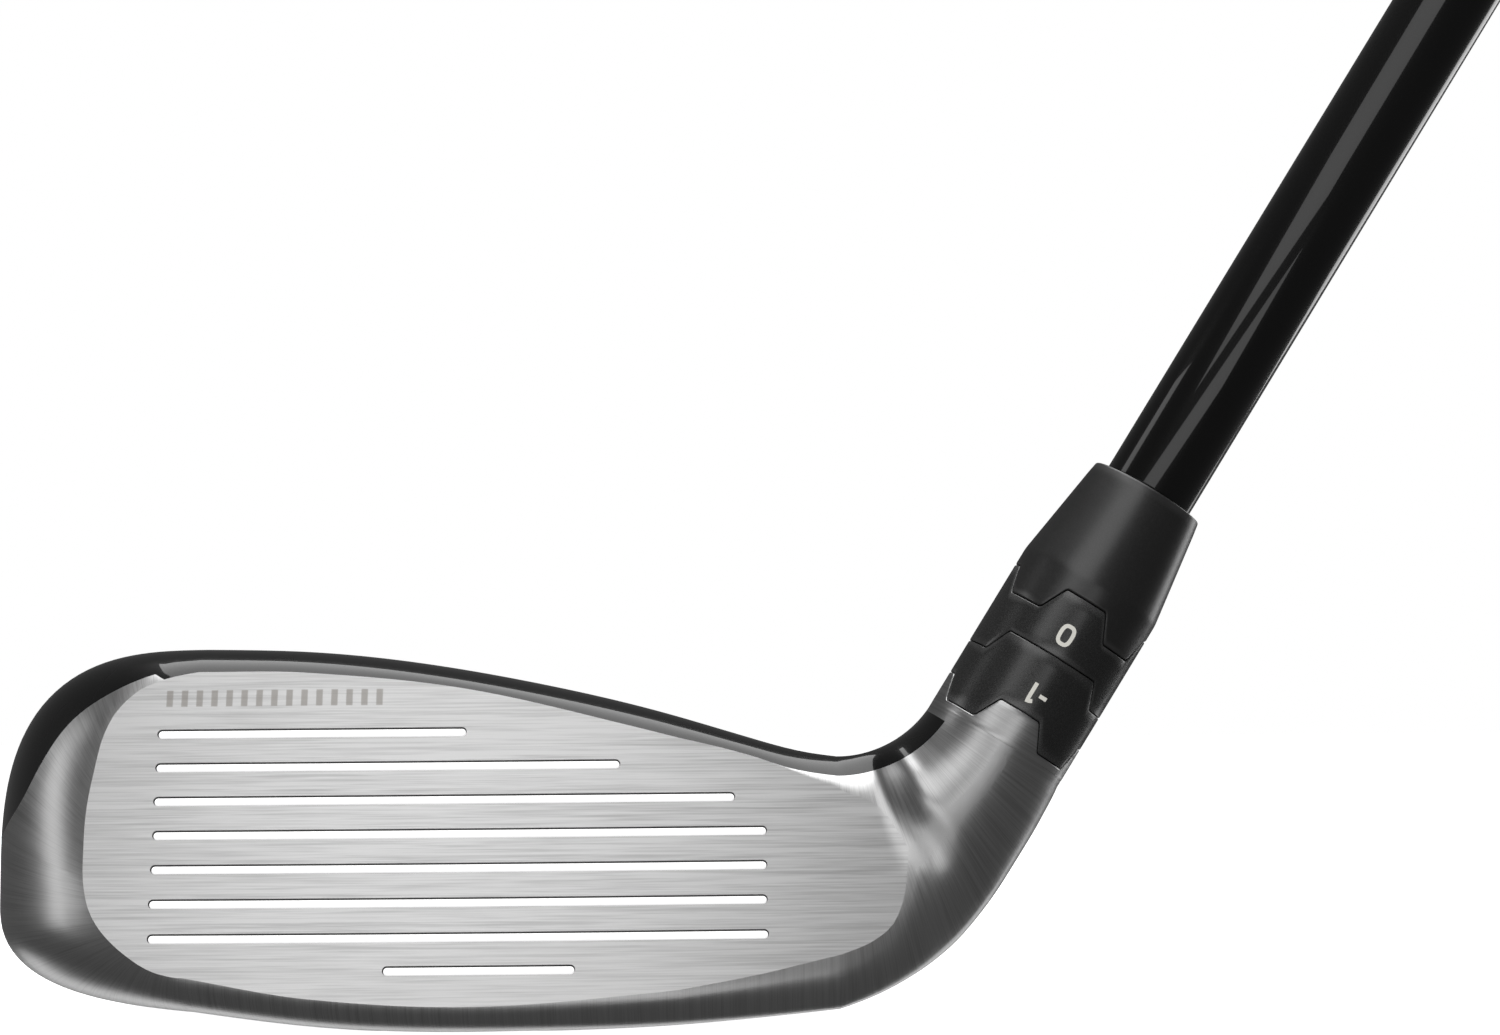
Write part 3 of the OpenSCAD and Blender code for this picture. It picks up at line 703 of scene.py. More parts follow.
@dataclass
class HeadSurface:
    """The outside of the head and neck, from ribs around its middle line."""

    loft: float = math.radians(20.0)
    bulge: float = 400.0
    hosel_r: float = 7.55
    neck_x: float = 35.5
    neck_z: float = 36.9
    hosel_m: float = 93.5
    face_end: float = 54.8
    crown_end: float = 91.5
    head_end: float = 94.2
    fan_x: float = -28.0
    paint_start: float = 99.0
    paint_end: float = 163.0
    band_from: float = 28.0
    band: float = 1.9
    face_stop: float = 2.0
    bare_stop: float = 4.0
    edge_stop: float = 8.0
    back_stop: float = 15.0
    top_z: Fair = field(default_factory=lambda: Fair([
        (-28, 37.6), (-18, 37.3), (-6, 36), (6, 33.8), (18, 30.9), (28, 27.9), (32.4, 26.76), (35.5, 26.3)]))
    sole_z: Fair = field(default_factory=lambda: Fair([
        (-28, 1.7), (-17, 0.4), (-9, -0.1), (6, -0.1), (18, 0.3), (30, 1.2), (35.5, 1.7)]))
    middle_d: Blend = field(default_factory=lambda: Blend([
        (20, 24.9), (35.5, 24.1), (45, 22.9), (54.8, 20.8), (70, 19.1), (93.5, 18.54)]))
    outer_d: Blend = field(default_factory=lambda: Blend([
        (35.5, 35.2), (43.5, 33.8), (55.5, 31.6), (65.5, 29.5), (75.5, 27.7), (85.5, 26.6), (93.5, 26.09)]))
    inner_d: Blend = field(default_factory=lambda: Blend([(35.5, 10.6), (60, 10.7), (93.5, 10.99)]))
    face_top: Blend = field(default_factory=lambda: Blend([
        (-28, 23.25), (-17.5, 23.1), (-1.6, 21.4), (14.4, 17.7), (26.9, 14.2), (35.5, 10.6),
        (46.5, 7.5), (52.3, 3.9), (54.8, 0.01)]))
    face_low: Blend = field(default_factory=lambda: Blend([
        (-28, 6.4), (-16, 8.4), (0, 9.25), (17.5, 8.1), (26.7, 7), (35.5, 5.6),
        (42.3, 5.2), (46.9, 4.6), (50.6, 3), (54.8, 0.01)]))
    fan_face: Blend = field(default_factory=lambda: Blend([
        (90, 23.25), (104, 22.45), (112, 21.2), (118, 19.6), (127, 16.7), (138, 14.2), (150, 12.2),
        (163, 10.9), (180, 9.6), (203, 7.85), (222, 6.95), (250, 6.45), (270, 6.4)]))
    fan_paint: Blend = field(default_factory=lambda: Blend([
        (99, 23.6), (112, 23.1), (125, 22.6), (141, 21.3), (151, 21.1), (163, 22.4)]))
    top_y: Fair = field(default_factory=lambda: Fair([
        (-28, 4.5), (0, 3), (20, 1), (35.5, -0.8), (50, -0.8), (65, -0.2), (93.5, 0)]))
    sole_y: Fair = field(default_factory=lambda: Fair([
        (-28, -3), (0, -7), (20, -8), (35.5, -7), (60, -2.6), (75, -0.6), (93.5, 0)]))
    rear_y: Fair = field(default_factory=lambda: Fair([
        (-28, 35.5), (-22, 36.2), (-12, 38.9), (-3, 40), (8, 39), (20, 33.5), (28, 26), (35.5, 17.5),
        (45, 11.6), (55, 9), (65, 8), (80, 7.6), (93.5, 7.55)]))
    fan_y: Fair = field(default_factory=lambda: Fair([(90, 4.5), (135, 9), (180, 12), (225, 6.5), (270, -3)]))

    def turn(self, m: float) -> float:
        """Angle around the neck's pivot at station m."""
        return math.radians(min(max(m - self.neck_x, 0.0), self.hosel_m - self.neck_x))

    def middle(self, m: float) -> tuple[float, float]:
        """Middle of the section at station m, as X and Z."""
        d = self.middle_d(m)
        if m <= self.neck_x:
            return (m, self.neck_z - d)
        t, e = self.turn(m), max(m - self.hosel_m, 0.0)
        x = self.neck_x + math.sin(t) * d + math.cos(t) * e
        return (x, self.neck_z - math.cos(t) * d + math.sin(t) * e)

    def station(self, rib: Rib) -> float:
        """The rib's station."""
        return self.fan_x if rib.side is Side.FAN else rib.at

    def heading(self, rib: Rib) -> tuple[float, float]:
        """Direction of the rib, seen from the front."""
        if rib.side is Side.FAN:
            return (math.cos(math.radians(rib.at)), math.sin(math.radians(rib.at)))
        t = self.turn(rib.at)
        sign = 1.0 if rib.side is Side.UPPER else -1.0
        return (-math.sin(t) * sign, math.cos(t) * sign)

    def reach(self, rib: Rib) -> float:
        """Distance from the middle to the outline."""
        m = rib.at
        if rib.side is Side.FAN:
            a = math.radians(m)
            high, n = (25.6, 2.9) if m < 180 else (10.3, 2.5)
            return (abs(math.cos(a) / 22.3) ** n + abs(math.sin(a) / high) ** n) ** (-1 / n)
        if rib.side is Side.UPPER:
            if m <= self.neck_x:
                return self.top_z(m) - self.middle(m)[1]
            return self.middle_d(m) - self.inner_d(m)
        if m <= self.neck_x:
            return self.middle(m)[1] - self.sole_z(m)
        return max(self.hosel_r, self.outer_d(m) - self.middle_d(m) - max(m - self.hosel_m, 0.0))

    def face(self, rib: Rib) -> float:
        """Distance from the middle to the border of the hitting face."""
        if rib.side is Side.FAN:
            return self.fan_face(rib.at)
        if rib.at >= self.face_end:
            return 0.0
        return self.face_top(rib.at) if rib.side is Side.UPPER else self.face_low(rib.at)

    def paint(self, rib: Rib, painted: bool) -> float:
        """Distance from the middle to the painted edge."""
        face = self.face(rib)
        if not painted:
            return self.reach(rib) if rib.side is not Side.UPPER else max(face, self.reach(rib) - self.band)
        if rib.side is Side.UPPER:
            return max(face, self.reach(rib) - self.band) if rib.at > self.band_from else face
        return max(self.fan_paint(rib.at), face) if rib.at > self.paint_start else face

    def edge_y(self, rib: Rib) -> float:
        """Depth of the outline."""
        table = {Side.UPPER: self.top_y, Side.LOWER: self.sole_y, Side.FAN: self.fan_y}[rib.side]
        return table(rib.at)

    def front_y(self, m: float, x: float, z: float) -> float:
        """Depth of the front: the lofted, bulged face, turning into the hosel's front."""
        face = self.face_y(x, z)
        return mix(face, AXIS_FOOT[1] - self.hosel_r, smooth(50.0, 68.0, m))

    def face_y(self, x: float, z: float) -> float:
        """Depth of the hitting face."""
        return -14.0 + (z - 3.0) * math.tan(self.loft) + (x + 1.0) ** 2 / (2 * self.bulge)

    def flat(self, rib: Rib, j: float, painted: bool) -> tuple[float, float]:
        """A place on the rib, as its distance from the middle and its depth."""
        f, s, m = self.face(rib), self.reach(rib), self.station(rib)
        start = clamp01((self.paint(rib, painted) - f) / (s - f))
        if rib.side is Side.FAN:
            crease = mix(0.08, 0.25, math.sin(math.radians(rib.at - 90)) ** 2)
            power = mix(2.0, 2.8, smooth(150.0, 270.0, rib.at))
        else:
            crease = 0.08 * (1 - smooth(40.0, 70.0, rib.at))
            power = 2.0 if rib.side is Side.UPPER else mix(2.8, 2.0, smooth(30.0, 70.0, rib.at))
        if j <= self.face_stop:
            v = 0.0
        elif j <= self.bare_stop:
            share = (j - self.face_stop) / (self.bare_stop - self.face_stop)
            v = math.sin(math.asin(start) * share)
        else:
            share = min(1.0, (j - self.bare_stop) / (self.edge_stop - self.bare_stop))
            v = math.sin(mix(math.asin(start), math.pi / 2, share))
        q = clamp01((j - self.edge_stop) / (self.back_stop - self.edge_stop)) * math.pi / 2
        n = 2.0 / power
        if j <= self.face_stop:
            r = f * j / self.face_stop
        elif j <= self.edge_stop:
            r = mix(f, s, v)
        else:
            r = s * max(0.0, math.cos(q)) ** n
        ye = self.edge_y(rib)
        if j > self.edge_stop:
            return r, mix(ye, self.rear_y(m), math.sin(q) ** n)
        (mx, mz), (hx, hz) = self.middle(m), self.heading(rib)
        here = self.front_y(m, mx + hx * r, mz + hz * r)
        edge = self.front_y(m, mx + hx * s, mz + hz * s)
        level = (7.5 if rib.side is Side.UPPER else 5.0) * (1 - smooth(44.0, 72.0, m))
        if rib.side is not Side.FAN and level > f:
            v = clamp01((r - level) / (s - level))
        rise = crease * v + (1 - crease) * (1 - math.sqrt(max(0.0, 1 - v * v)))
        return r, here + (ye - edge) * rise

    def normal(self, rib: Rib, j: float, painted: bool) -> tuple[float, float]:
        """The rib's own outward direction, as distance and depth."""
        if j >= self.back_stop:
            return (0.0, 1.0)
        if j <= self.face_stop:
            return (0.0, -1.0)
        a, b = self.flat(rib, j - 0.05, painted), self.flat(rib, j + 0.05, painted)
        dr, dy = b[0] - a[0], b[1] - a[1]
        size = math.hypot(dr, dy)
        if size > 1e-4:
            return (dy / size, -dr / size)
        return (0.0, -1.0) if j < self.bare_stop + 0.5 else (1.0, 0.0)

    def point(self, rib: Rib, j: float, inset: float = 0.0, painted: bool = False) -> Point:
        """A point of the surface, set in along the rib's normal."""
        r, y = self.flat(rib, j, painted)
        if inset:
            n = self.normal(rib, j, painted)
            r, y = r - inset * n[0], y - inset * n[1]
        (mx, mz), (hx, hz) = self.middle(self.station(rib)), self.heading(rib)
        return (mx + hx * r, y, max(mz + hz * r, 0.0))

    def along_middle(self, rib: Rib) -> float:
        """Distance along the head for the brushing, in millimetres."""
        if rib.side is Side.FAN:
            return self.fan_x - math.radians(rib.at - 90) * 18.0
        m = min(rib.at, self.neck_x) + max(0.0, rib.at - self.neck_x) * 0.40
        return m if rib.side is Side.UPPER else -140.0 - m

    def grain(self, rib: Rib, j: float) -> Point:
        """The brushing's own coordinates at a place on the rib."""
        r, y = self.flat(rib, min(j, self.back_stop), False)
        reach = self.reach(rib)
        over = r if j <= self.edge_stop else reach + (reach - r) + (y - self.edge_y(rib))
        return (self.along_middle(rib), over, 0.0)


def spread(start: float, end: float, step: float) -> list[float]:
    """Values from start to end no further apart than step."""
    return steps(start, end, max(1, math.ceil(abs(end - start) / step)))


@dataclass
class Head:
    """The casting, the face cup with its score lines, and the crown."""

    surface: HeadSurface = field(default_factory=HeadSurface)
    face_wall: float = 2.4
    crown_wall: float = 0.9
    line_pitch: float = 3.51
    line_width: float = 0.96
    line_depth: float = 0.45
    lines: tuple[tuple[float, float, float], ...] = (
        (-31.9, -1.1, 7), (-31.9, 14.1, 6), (-31.9, 25.4, 5), (-31.8, 28.5, 4),
        (-31.8, 28.5, 3), (-31.8, 28.5, 2), (-31.7, 28.6, 1), (-8.7, 9.9, 0.05))

    def _rows(self) -> list[tuple[Rib, bool, bool]]:
        """Every rib around the head, with whether the face and the crown lie on it."""
        h = self.surface
        rows: list[tuple[Rib, bool, bool]] = []

        def add(side: Side, values: Sequence[float], face: bool, crown: bool) -> None:
            rows.extend((Rib(side, v), face, crown) for v in values)

        neck = spread(h.crown_end, h.face_end, 1.6)
        toe = spread(h.face_end, h.neck_x, 1.4) + spread(h.neck_x, h.fan_x, 1.3)[1:]
        add(Side.UPPER, [h.head_end, h.hosel_m, h.crown_end], False, False)
        add(Side.UPPER, neck, False, True)
        add(Side.UPPER, toe, True, True)
        add(Side.FAN, [93.0, 96.0] + spread(h.paint_start, h.paint_end, 2.2), True, True)
        add(Side.FAN, spread(h.paint_end, 270.0, 2.2)[:-1], True, False)
        add(Side.LOWER, toe[::-1], True, False)
        add(Side.LOWER, neck[::-1], False, False)
        add(Side.LOWER, [h.hosel_m, h.head_end], False, False)
        return rows

    def _columns(self) -> list[float]:
        """Places along a rib from the painted edge to the middle of the back."""
        h = self.surface
        return spread(h.bare_stop, h.edge_stop, 0.3) + spread(h.edge_stop, h.back_stop, 0.35)[1:]

    def build_casting(self, finish: Finish, inner: Finish) -> Piece:
        """The casting's outside, with seats under the face and the crown, cut for the screws and hosel."""
        h = self.surface
        maker = MeshMaker()
        face_in, crown_in = self.face_wall + 0.03, self.crown_wall + 0.03
        rows: list[list[int]] = []
        ring = self._rows()
        for rib, face, crown in ring + ring[:1]:
            f, c = (face_in if face else 0.0), (crown_in if crown else 0.0)
            places = [(j, f) for j in (0.0, 1.0, 2.0)]
            places += [(j, 0.0) for j in spread(h.face_stop, h.bare_stop, 0.25)]
            places += [(j, c) for j in self._columns()] + [(h.back_stop, 0.0)]
            rows.append([maker.point(h.point(rib, j, i, crown), h.grain(rib, j)) for j, i in places])
        maker.grid(rows)
        casting = maker.make("head_casting", [finish, inner])
        carve(casting, self._casting_cutters(inner))
        return casting

    def _casting_cutters(self, finish: Finish) -> list[Piece]:
        """The hollow, the windows in front and above, the hosel's hole and the weight's hole."""
        h = self.surface
        hollow = MeshMaker()
        inside = self.face_wall + 1.6
        upper = spread(26.0, h.fan_x, 5.0)
        ribs = [Rib(Side.UPPER, m) for m in upper] + [Rib(Side.FAN, a) for a in spread(100.0, 260.0, 9.0)]
        ribs += [Rib(Side.LOWER, m) for m in upper[::-1]] + [Rib(Side.UPPER, upper[0])]
        rows = []
        for rib in ribs:
            top = rib.side is Side.UPPER or (rib.side is Side.FAN and rib.at < h.paint_end)
            wall = self.crown_wall + 1.3 if top else 1.7
            places = [(0.0, inside), (1.5, inside)]
            places += [(j, wall) for j in (9.5, 11.0, 12.5, 14.0)] + [(15.0, 1.7)]
            rows.append([hollow.point(h.point(rib, j, i)) for j, i in places])
        hollow.grid(rows)
        spans = (-26.0, -18.0, -10.0, 0.0, 10.0, 18.0, 24.0)
        crown = [(m, h.top_y(m) + 6.0) for m in spans] + [(m, h.rear_y(m) - 6.0) for m in reversed(spans)]
        front = [(m, h.middle(m)[1] + h.face_top(m) * 0.72) for m in spans]
        front += [(m, h.middle(m)[1] - h.face_low(m) * 0.6) for m in reversed(spans)]
        hole = [
            (0.0, -6.0), (4.6, -6.0), (4.6, 11.2), (3.65, 11.2), (3.65, 21.2), (6.25, 21.2),
            (6.25, 45.0), (0.0, 45.0)]
        port = MeshMaker()
        radius, count = 8.05, 72
        turns = [math.tau * k / count for k in range(count)]
        low, high = (
            [port.point(port_place(radius * math.cos(a), radius * math.sin(a), z)) for a in turns]
            for z in (-6.0, 10.0))
        port.grid([low + low[:1], high + high[:1]])
        port.face(low)
        port.face(high)
        return [
            hollow.make("cut_hollow", [finish]),
            prism("cut_crown_window", [(x, y, 17.0) for x, y in crown], (0.0, 0.0, 40.0), finish),
            prism("cut_face_window", [(x, -27.0, z) for x, z in front], (0.0, 30.0, 0.0), finish),
            revolve("cut_hosel_hole", hole, finish, 96),
            port.make("cut_port", [finish]),
        ]

    def build_crown(self, finish: Finish) -> Piece:
        """The crown shell."""
        h = self.surface
        maker = MeshMaker()
        columns = self._columns()
        ribs = [rib for rib, _, crown in self._rows() if crown]
        loop = [(j, 0.0) for j in columns] + [(j, self.crown_wall) for j in reversed(columns)]
        rows = [[maker.point(h.point(rib, j, i, True)) for j, i in loop + loop[:1]] for rib in ribs]
        maker.grid(rows)
        n = len(columns)
        for row in (rows[0], rows[-1]):
            for k in range(n - 1):
                maker.face((row[k], row[k + 1], row[2 * n - 2 - k], row[2 * n - 1 - k]))
        return maker.make("crown_shell", [finish])

    def build_face(self, finish: Finish, dark: Finish) -> Piece:
        """The hitting face, with its grooves cut; the dark finish is given to the plate and the cutters as a
        painted shade for the narrow grooves.
        """
        h = self.surface
        maker = MeshMaker()
        loop = [(j, 0.0) for j in steps(0.0, 2.0, 8)] + [(j, self.face_wall) for j in (2.0, 1.0, 0.0)]
        ribs = [rib for rib, face, _ in self._rows() if face]
        rows = [[maker.point(h.point(rib, j, i)) for j, i in loop] for rib in ribs]
        maker.grid(rows)
        plate = maker.make("hitting_face", [finish, dark])
        carve(plate, [self._groove(k, row, dark) for k, row in enumerate(self.lines)])
        return plate

    def _line_height(self, row: tuple[float, float, float]) -> float:
        """Height of a score line above the ground."""
        return 6.0 + row[2] * self.line_pitch * math.cos(self.surface.loft)

    def _groove(self, number: int, row: tuple[float, float, float], finish: Finish) -> Piece:
        """A round-ended cutter that follows the face, carrying the dark painted-shade finish."""
        h, z = self.surface, self._line_height(row)
        r = self.line_width / 2
        outline: list[tuple[float, float]] = []
        for x in spread(row[0] + r, row[1] - r, 6.0):
            outline.append((x, -r))
        outline += [(row[1] - r + r * math.sin(a), -r * math.cos(a)) for a in steps(0, math.pi, 10)[1:-1]]
        for x in spread(row[1] - r, row[0] + r, 6.0):
            outline.append((x, r))
        outline += [(row[0] + r - r * math.sin(a), r * math.cos(a)) for a in steps(0, math.pi, 10)[1:-1]]
        maker = MeshMaker()
        rings = []
        for depth in (self.line_depth, -1.0):
            ring = []
            for x, up in outline:
                zz = z + up * math.cos(h.loft)
                y = h.face_y(x, z) + up * math.sin(h.loft)
                ring.append(maker.point((x, y + depth * math.cos(h.loft), zz - depth * math.sin(h.loft))))
            rings.append(ring)
        maker.grid([rings[0] + rings[0][:1], rings[1] + rings[1][:1]])
        maker.face(rings[0])
        maker.face(rings[1])
        return maker.make(f"cut_line_{number}", [finish])

    def build_lines(self, finish: Finish) -> Piece:
        """The paint in the score lines: bars swept along the face, with round ends."""
        h = self.surface
        points: list[Point] = []
        edges: list[tuple[int, int]] = []
        radius = self.line_width / 2 - 0.09
        sink = radius - 0.05
        for row in self.lines:
            z = self._line_height(row)
            first = len(points)
            for x in spread(row[0] + self.line_width / 2, row[1] - self.line_width / 2, 4.0):
                y = h.face_y(x, z) + sink * math.cos(h.loft)
                points.append((x * MM, y * MM, (z - sink * math.sin(h.loft)) * MM))
            edges += [(k, k + 1) for k in range(first, len(points) - 1)]
        mesh = bpy.data.meshes.new("score_line_fill")
        mesh.from_pydata(points, edges, [])
        piece = add_object("score_line_fill", mesh)
        return grow(piece, score_bar_tree(finish), {"Radius": radius * MM}, [finish])


def port_place(x: float, y: float, z: float) -> Point:
    """A point in the rear weight's own tilted frame."""
    tilt = math.radians(11.3)
    return (x, 27.0 + y * math.cos(tilt) - z * math.sin(tilt), 1.9 + y * math.sin(tilt) + z * math.cos(tilt))


def prism(name: str, outline: Sequence[Point], offset: Point, finish: Finish) -> Piece:
    """A closed prism from an outline and an offset."""
    maker = MeshMaker()
    low = [maker.point(p) for p in outline]
    high = [maker.point(tuple(p[k] + offset[k] for k in range(3))) for p in outline]
    maker.grid([low + low[:1], high + high[:1]])
    maker.face(low)
    maker.face(high)
    return maker.make(name, [finish])


# ---------------------------------------------------------------------------
# Geometry Nodes
# ---------------------------------------------------------------------------
class Grower(Tree):
    """A Geometry Nodes tree with named inputs."""

    def __init__(self, name: str, inputs: Sequence[tuple[str, str]]) -> None:
        """Make the group.

        Args:
            name: the group's name.
            inputs: pairs of input name and socket type.
        """
        self.group = bpy.data.node_groups.new(name, "GeometryNodeTree")
        super().__init__(self.group)
        face = self.group.interface
        face.new_socket("Geometry", in_out="INPUT", socket_type="NodeSocketGeometry")
        for label, kind in inputs:
            face.new_socket(label, in_out="INPUT", socket_type=kind)
        face.new_socket("Geometry", in_out="OUTPUT", socket_type="NodeSocketGeometry")
        self.start = self.group.nodes.new("NodeGroupInput")
        self.end = self.group.nodes.new("NodeGroupOutput")

    def finish(self, geometry: bpy.types.NodeSocket, finish: Finish) -> bpy.types.NodeTree:
        """End the tree in Realize Instances and Set Material."""
        real = self.node("GeometryNodeRealizeInstances", None, {0: geometry})
        sockets = {"Geometry": real.outputs[0], "Material": finish}
        dressed = self.node("GeometryNodeSetMaterial", None, sockets)
        self.group.links.new(dressed.outputs[0], self.end.inputs[0])
        return self.group


def grow(
    piece: Piece, group: bpy.types.NodeTree, inputs: dict[str, Any], finishes: Sequence[Finish]
) -> Piece:
    """Run a Geometry Nodes tree on the piece and keep its plain mesh."""
    modifier = piece.modifiers.new("grow", "NODES")
    modifier.node_group = group
    for item in group.interface.items_tree:
        if item.item_type == "SOCKET" and item.in_out == "INPUT" and item.name in inputs:
            modifier[item.identifier] = inputs[item.name]
    bake_modifiers(piece)
    mesh = piece.data
    mesh.materials.clear()
    for finish in finishes:
        mesh.materials.append(finish)
    mesh.shade_smooth()
    mesh.set_sharp_from_angle(angle=math.radians(40))
    return piece


def score_bar_tree(finish: Finish) -> bpy.types.NodeTree:
    """Bars along the lines, with a ball at each end."""
    g = Grower("score_bars", [("Radius", "NodeSocketFloat")])
    radius = g.start.outputs["Radius"]
    curve = g.node("GeometryNodeMeshToCurve", None, {0: g.start.outputs[0]})
    ring = g.node("GeometryNodeCurvePrimitiveCircle", None, {"Resolution": 20, "Radius": radius})
    bar = g.node("GeometryNodeCurveToMesh", None, {0: curve.outputs[0], 1: ring.outputs[0]})
    ends = g.node("GeometryNodeCurveEndpointSelection", None, {"Start Size": 1, "End Size": 1})
    ball = g.node("GeometryNodeMeshUVSphere", None, {"Segments": 20, "Rings": 10, "Radius": radius})
    tips = g.node("GeometryNodeInstanceOnPoints", None, {
        "Points": curve.outputs[0], "Selection": ends.outputs[0], "Instance": ball.outputs[0]})
    joined = g.node("GeometryNodeJoinGeometry", None, {0: bar.outputs[0]})
    g.group.links.new(tips.outputs[0], joined.inputs[0])
    return g.finish(joined.outputs[0], finish)


# ---------------------------------------------------------------------------
# Hosel tube, cogs and collar
# ---------------------------------------------------------------------------
def teeth_height(angle: float, ways: int, root: float, tip: float, height: float, radius: float) -> float:
    """Height of a rim with planar teeth at an angle around it.

    Args:
        angle: angle around the axis, in radians.
        ways: 1 for teeth front and back, 2 for teeth across as well.
        root: a tooth's half width at its root.
        tip: a tooth's half width at its tip.
        height: the tooth's height.
        radius: the rim's radius.

    Returns:
        The height above the root, with rounded corners.
    """
    best = 0.0
    for k in range(ways):
        side = abs(radius * (math.cos(angle) if k == 0 else math.sin(angle)))
        t = (root - side) / (root - tip)
        e = 0.14
        if t < -e:
            u = 0.0
        elif t < e:
            u = (t + e) ** 2 / (4 * e)
        elif t < 1 - e:
            u = t
        elif t < 1 + e:
            u = 1 - (1 + e - t) ** 2 / (4 * e)
        else:
            u = 1.0
        best = max(best, u * height)
    return best


Rim = Callable[[float], float]


@dataclass
class Ring:
    """A ring about the hosel's axis whose two rims may have teeth."""

    name: str
    bottom: Rim
    top: Rim
    outer: Callable[[float], float]
    bore: Pairs
    levels: Sequence[float] = ()
    bevel: float = 0.11
    count: int = 540
    brushed: bool = False
    foot: float | None = None

    def build(self, finish: Finish) -> Piece:
        """Make the ring.

        Args:
            finish: the ring's material.

        Returns:
            The new piece, whose grain attribute is 1 at its bevelled rims, where the finish paints a paler
            edge glint.
        """
        maker = MeshMaker()
        columns: list[list[int]] = []
        for k in range(self.count):
            a = math.tau * k / self.count
            low, high = self.bottom(a), self.top(a)
            b = self.bevel
            f = b if self.foot is None else self.foot
            column: list[tuple[float, float, float]] = []
            for q in steps(0.0, math.pi / 2, 3):
                column.append((low + f - f * math.cos(q), self.outer(low) - f + f * math.sin(q), 1.0))
            column += [(s, self.outer(s), 0.0) for s in self._outer_levels(low + b, high - b)]
            for q in steps(math.pi / 2, 0.0, 3):
                column.append((high - b + b * math.cos(q), self.outer(high) - b + b * math.sin(q), 1.0))
            first, last = self.bore[0], self.bore[-1]
            column.append((high, last[0], 0.0))
            for r, s in reversed(self.bore):
                column.append((min(max(s, low), high), r, 0.0))
            column.append((low, first[0], 0.0))
            grains = [(s, r * a, 0.0) if self.brushed else (edge_glint, 0.0, 0.0) for s, r, edge_glint in column]
            columns.append([maker.point(around(s, r, a), g) for (s, r, _), g in zip(column, grains)])
        maker.grid([c + c[:1] for c in columns] + [columns[0] + columns[0][:1]])
        return maker.make(self.name, [finish], 40.0)

    def _outer_levels(self, low: float, high: float) -> list[float]:
        """The outer rows' stations, the same number in every column."""
        if not self.levels:
            return steps(low, high, 6)[1:-1]
        start = max(low, min(self.levels[0], high))
        return [mix(low, start, k / 5) for k in range(1, 5)] + [min(max(s, start), high) for s in self.levels]


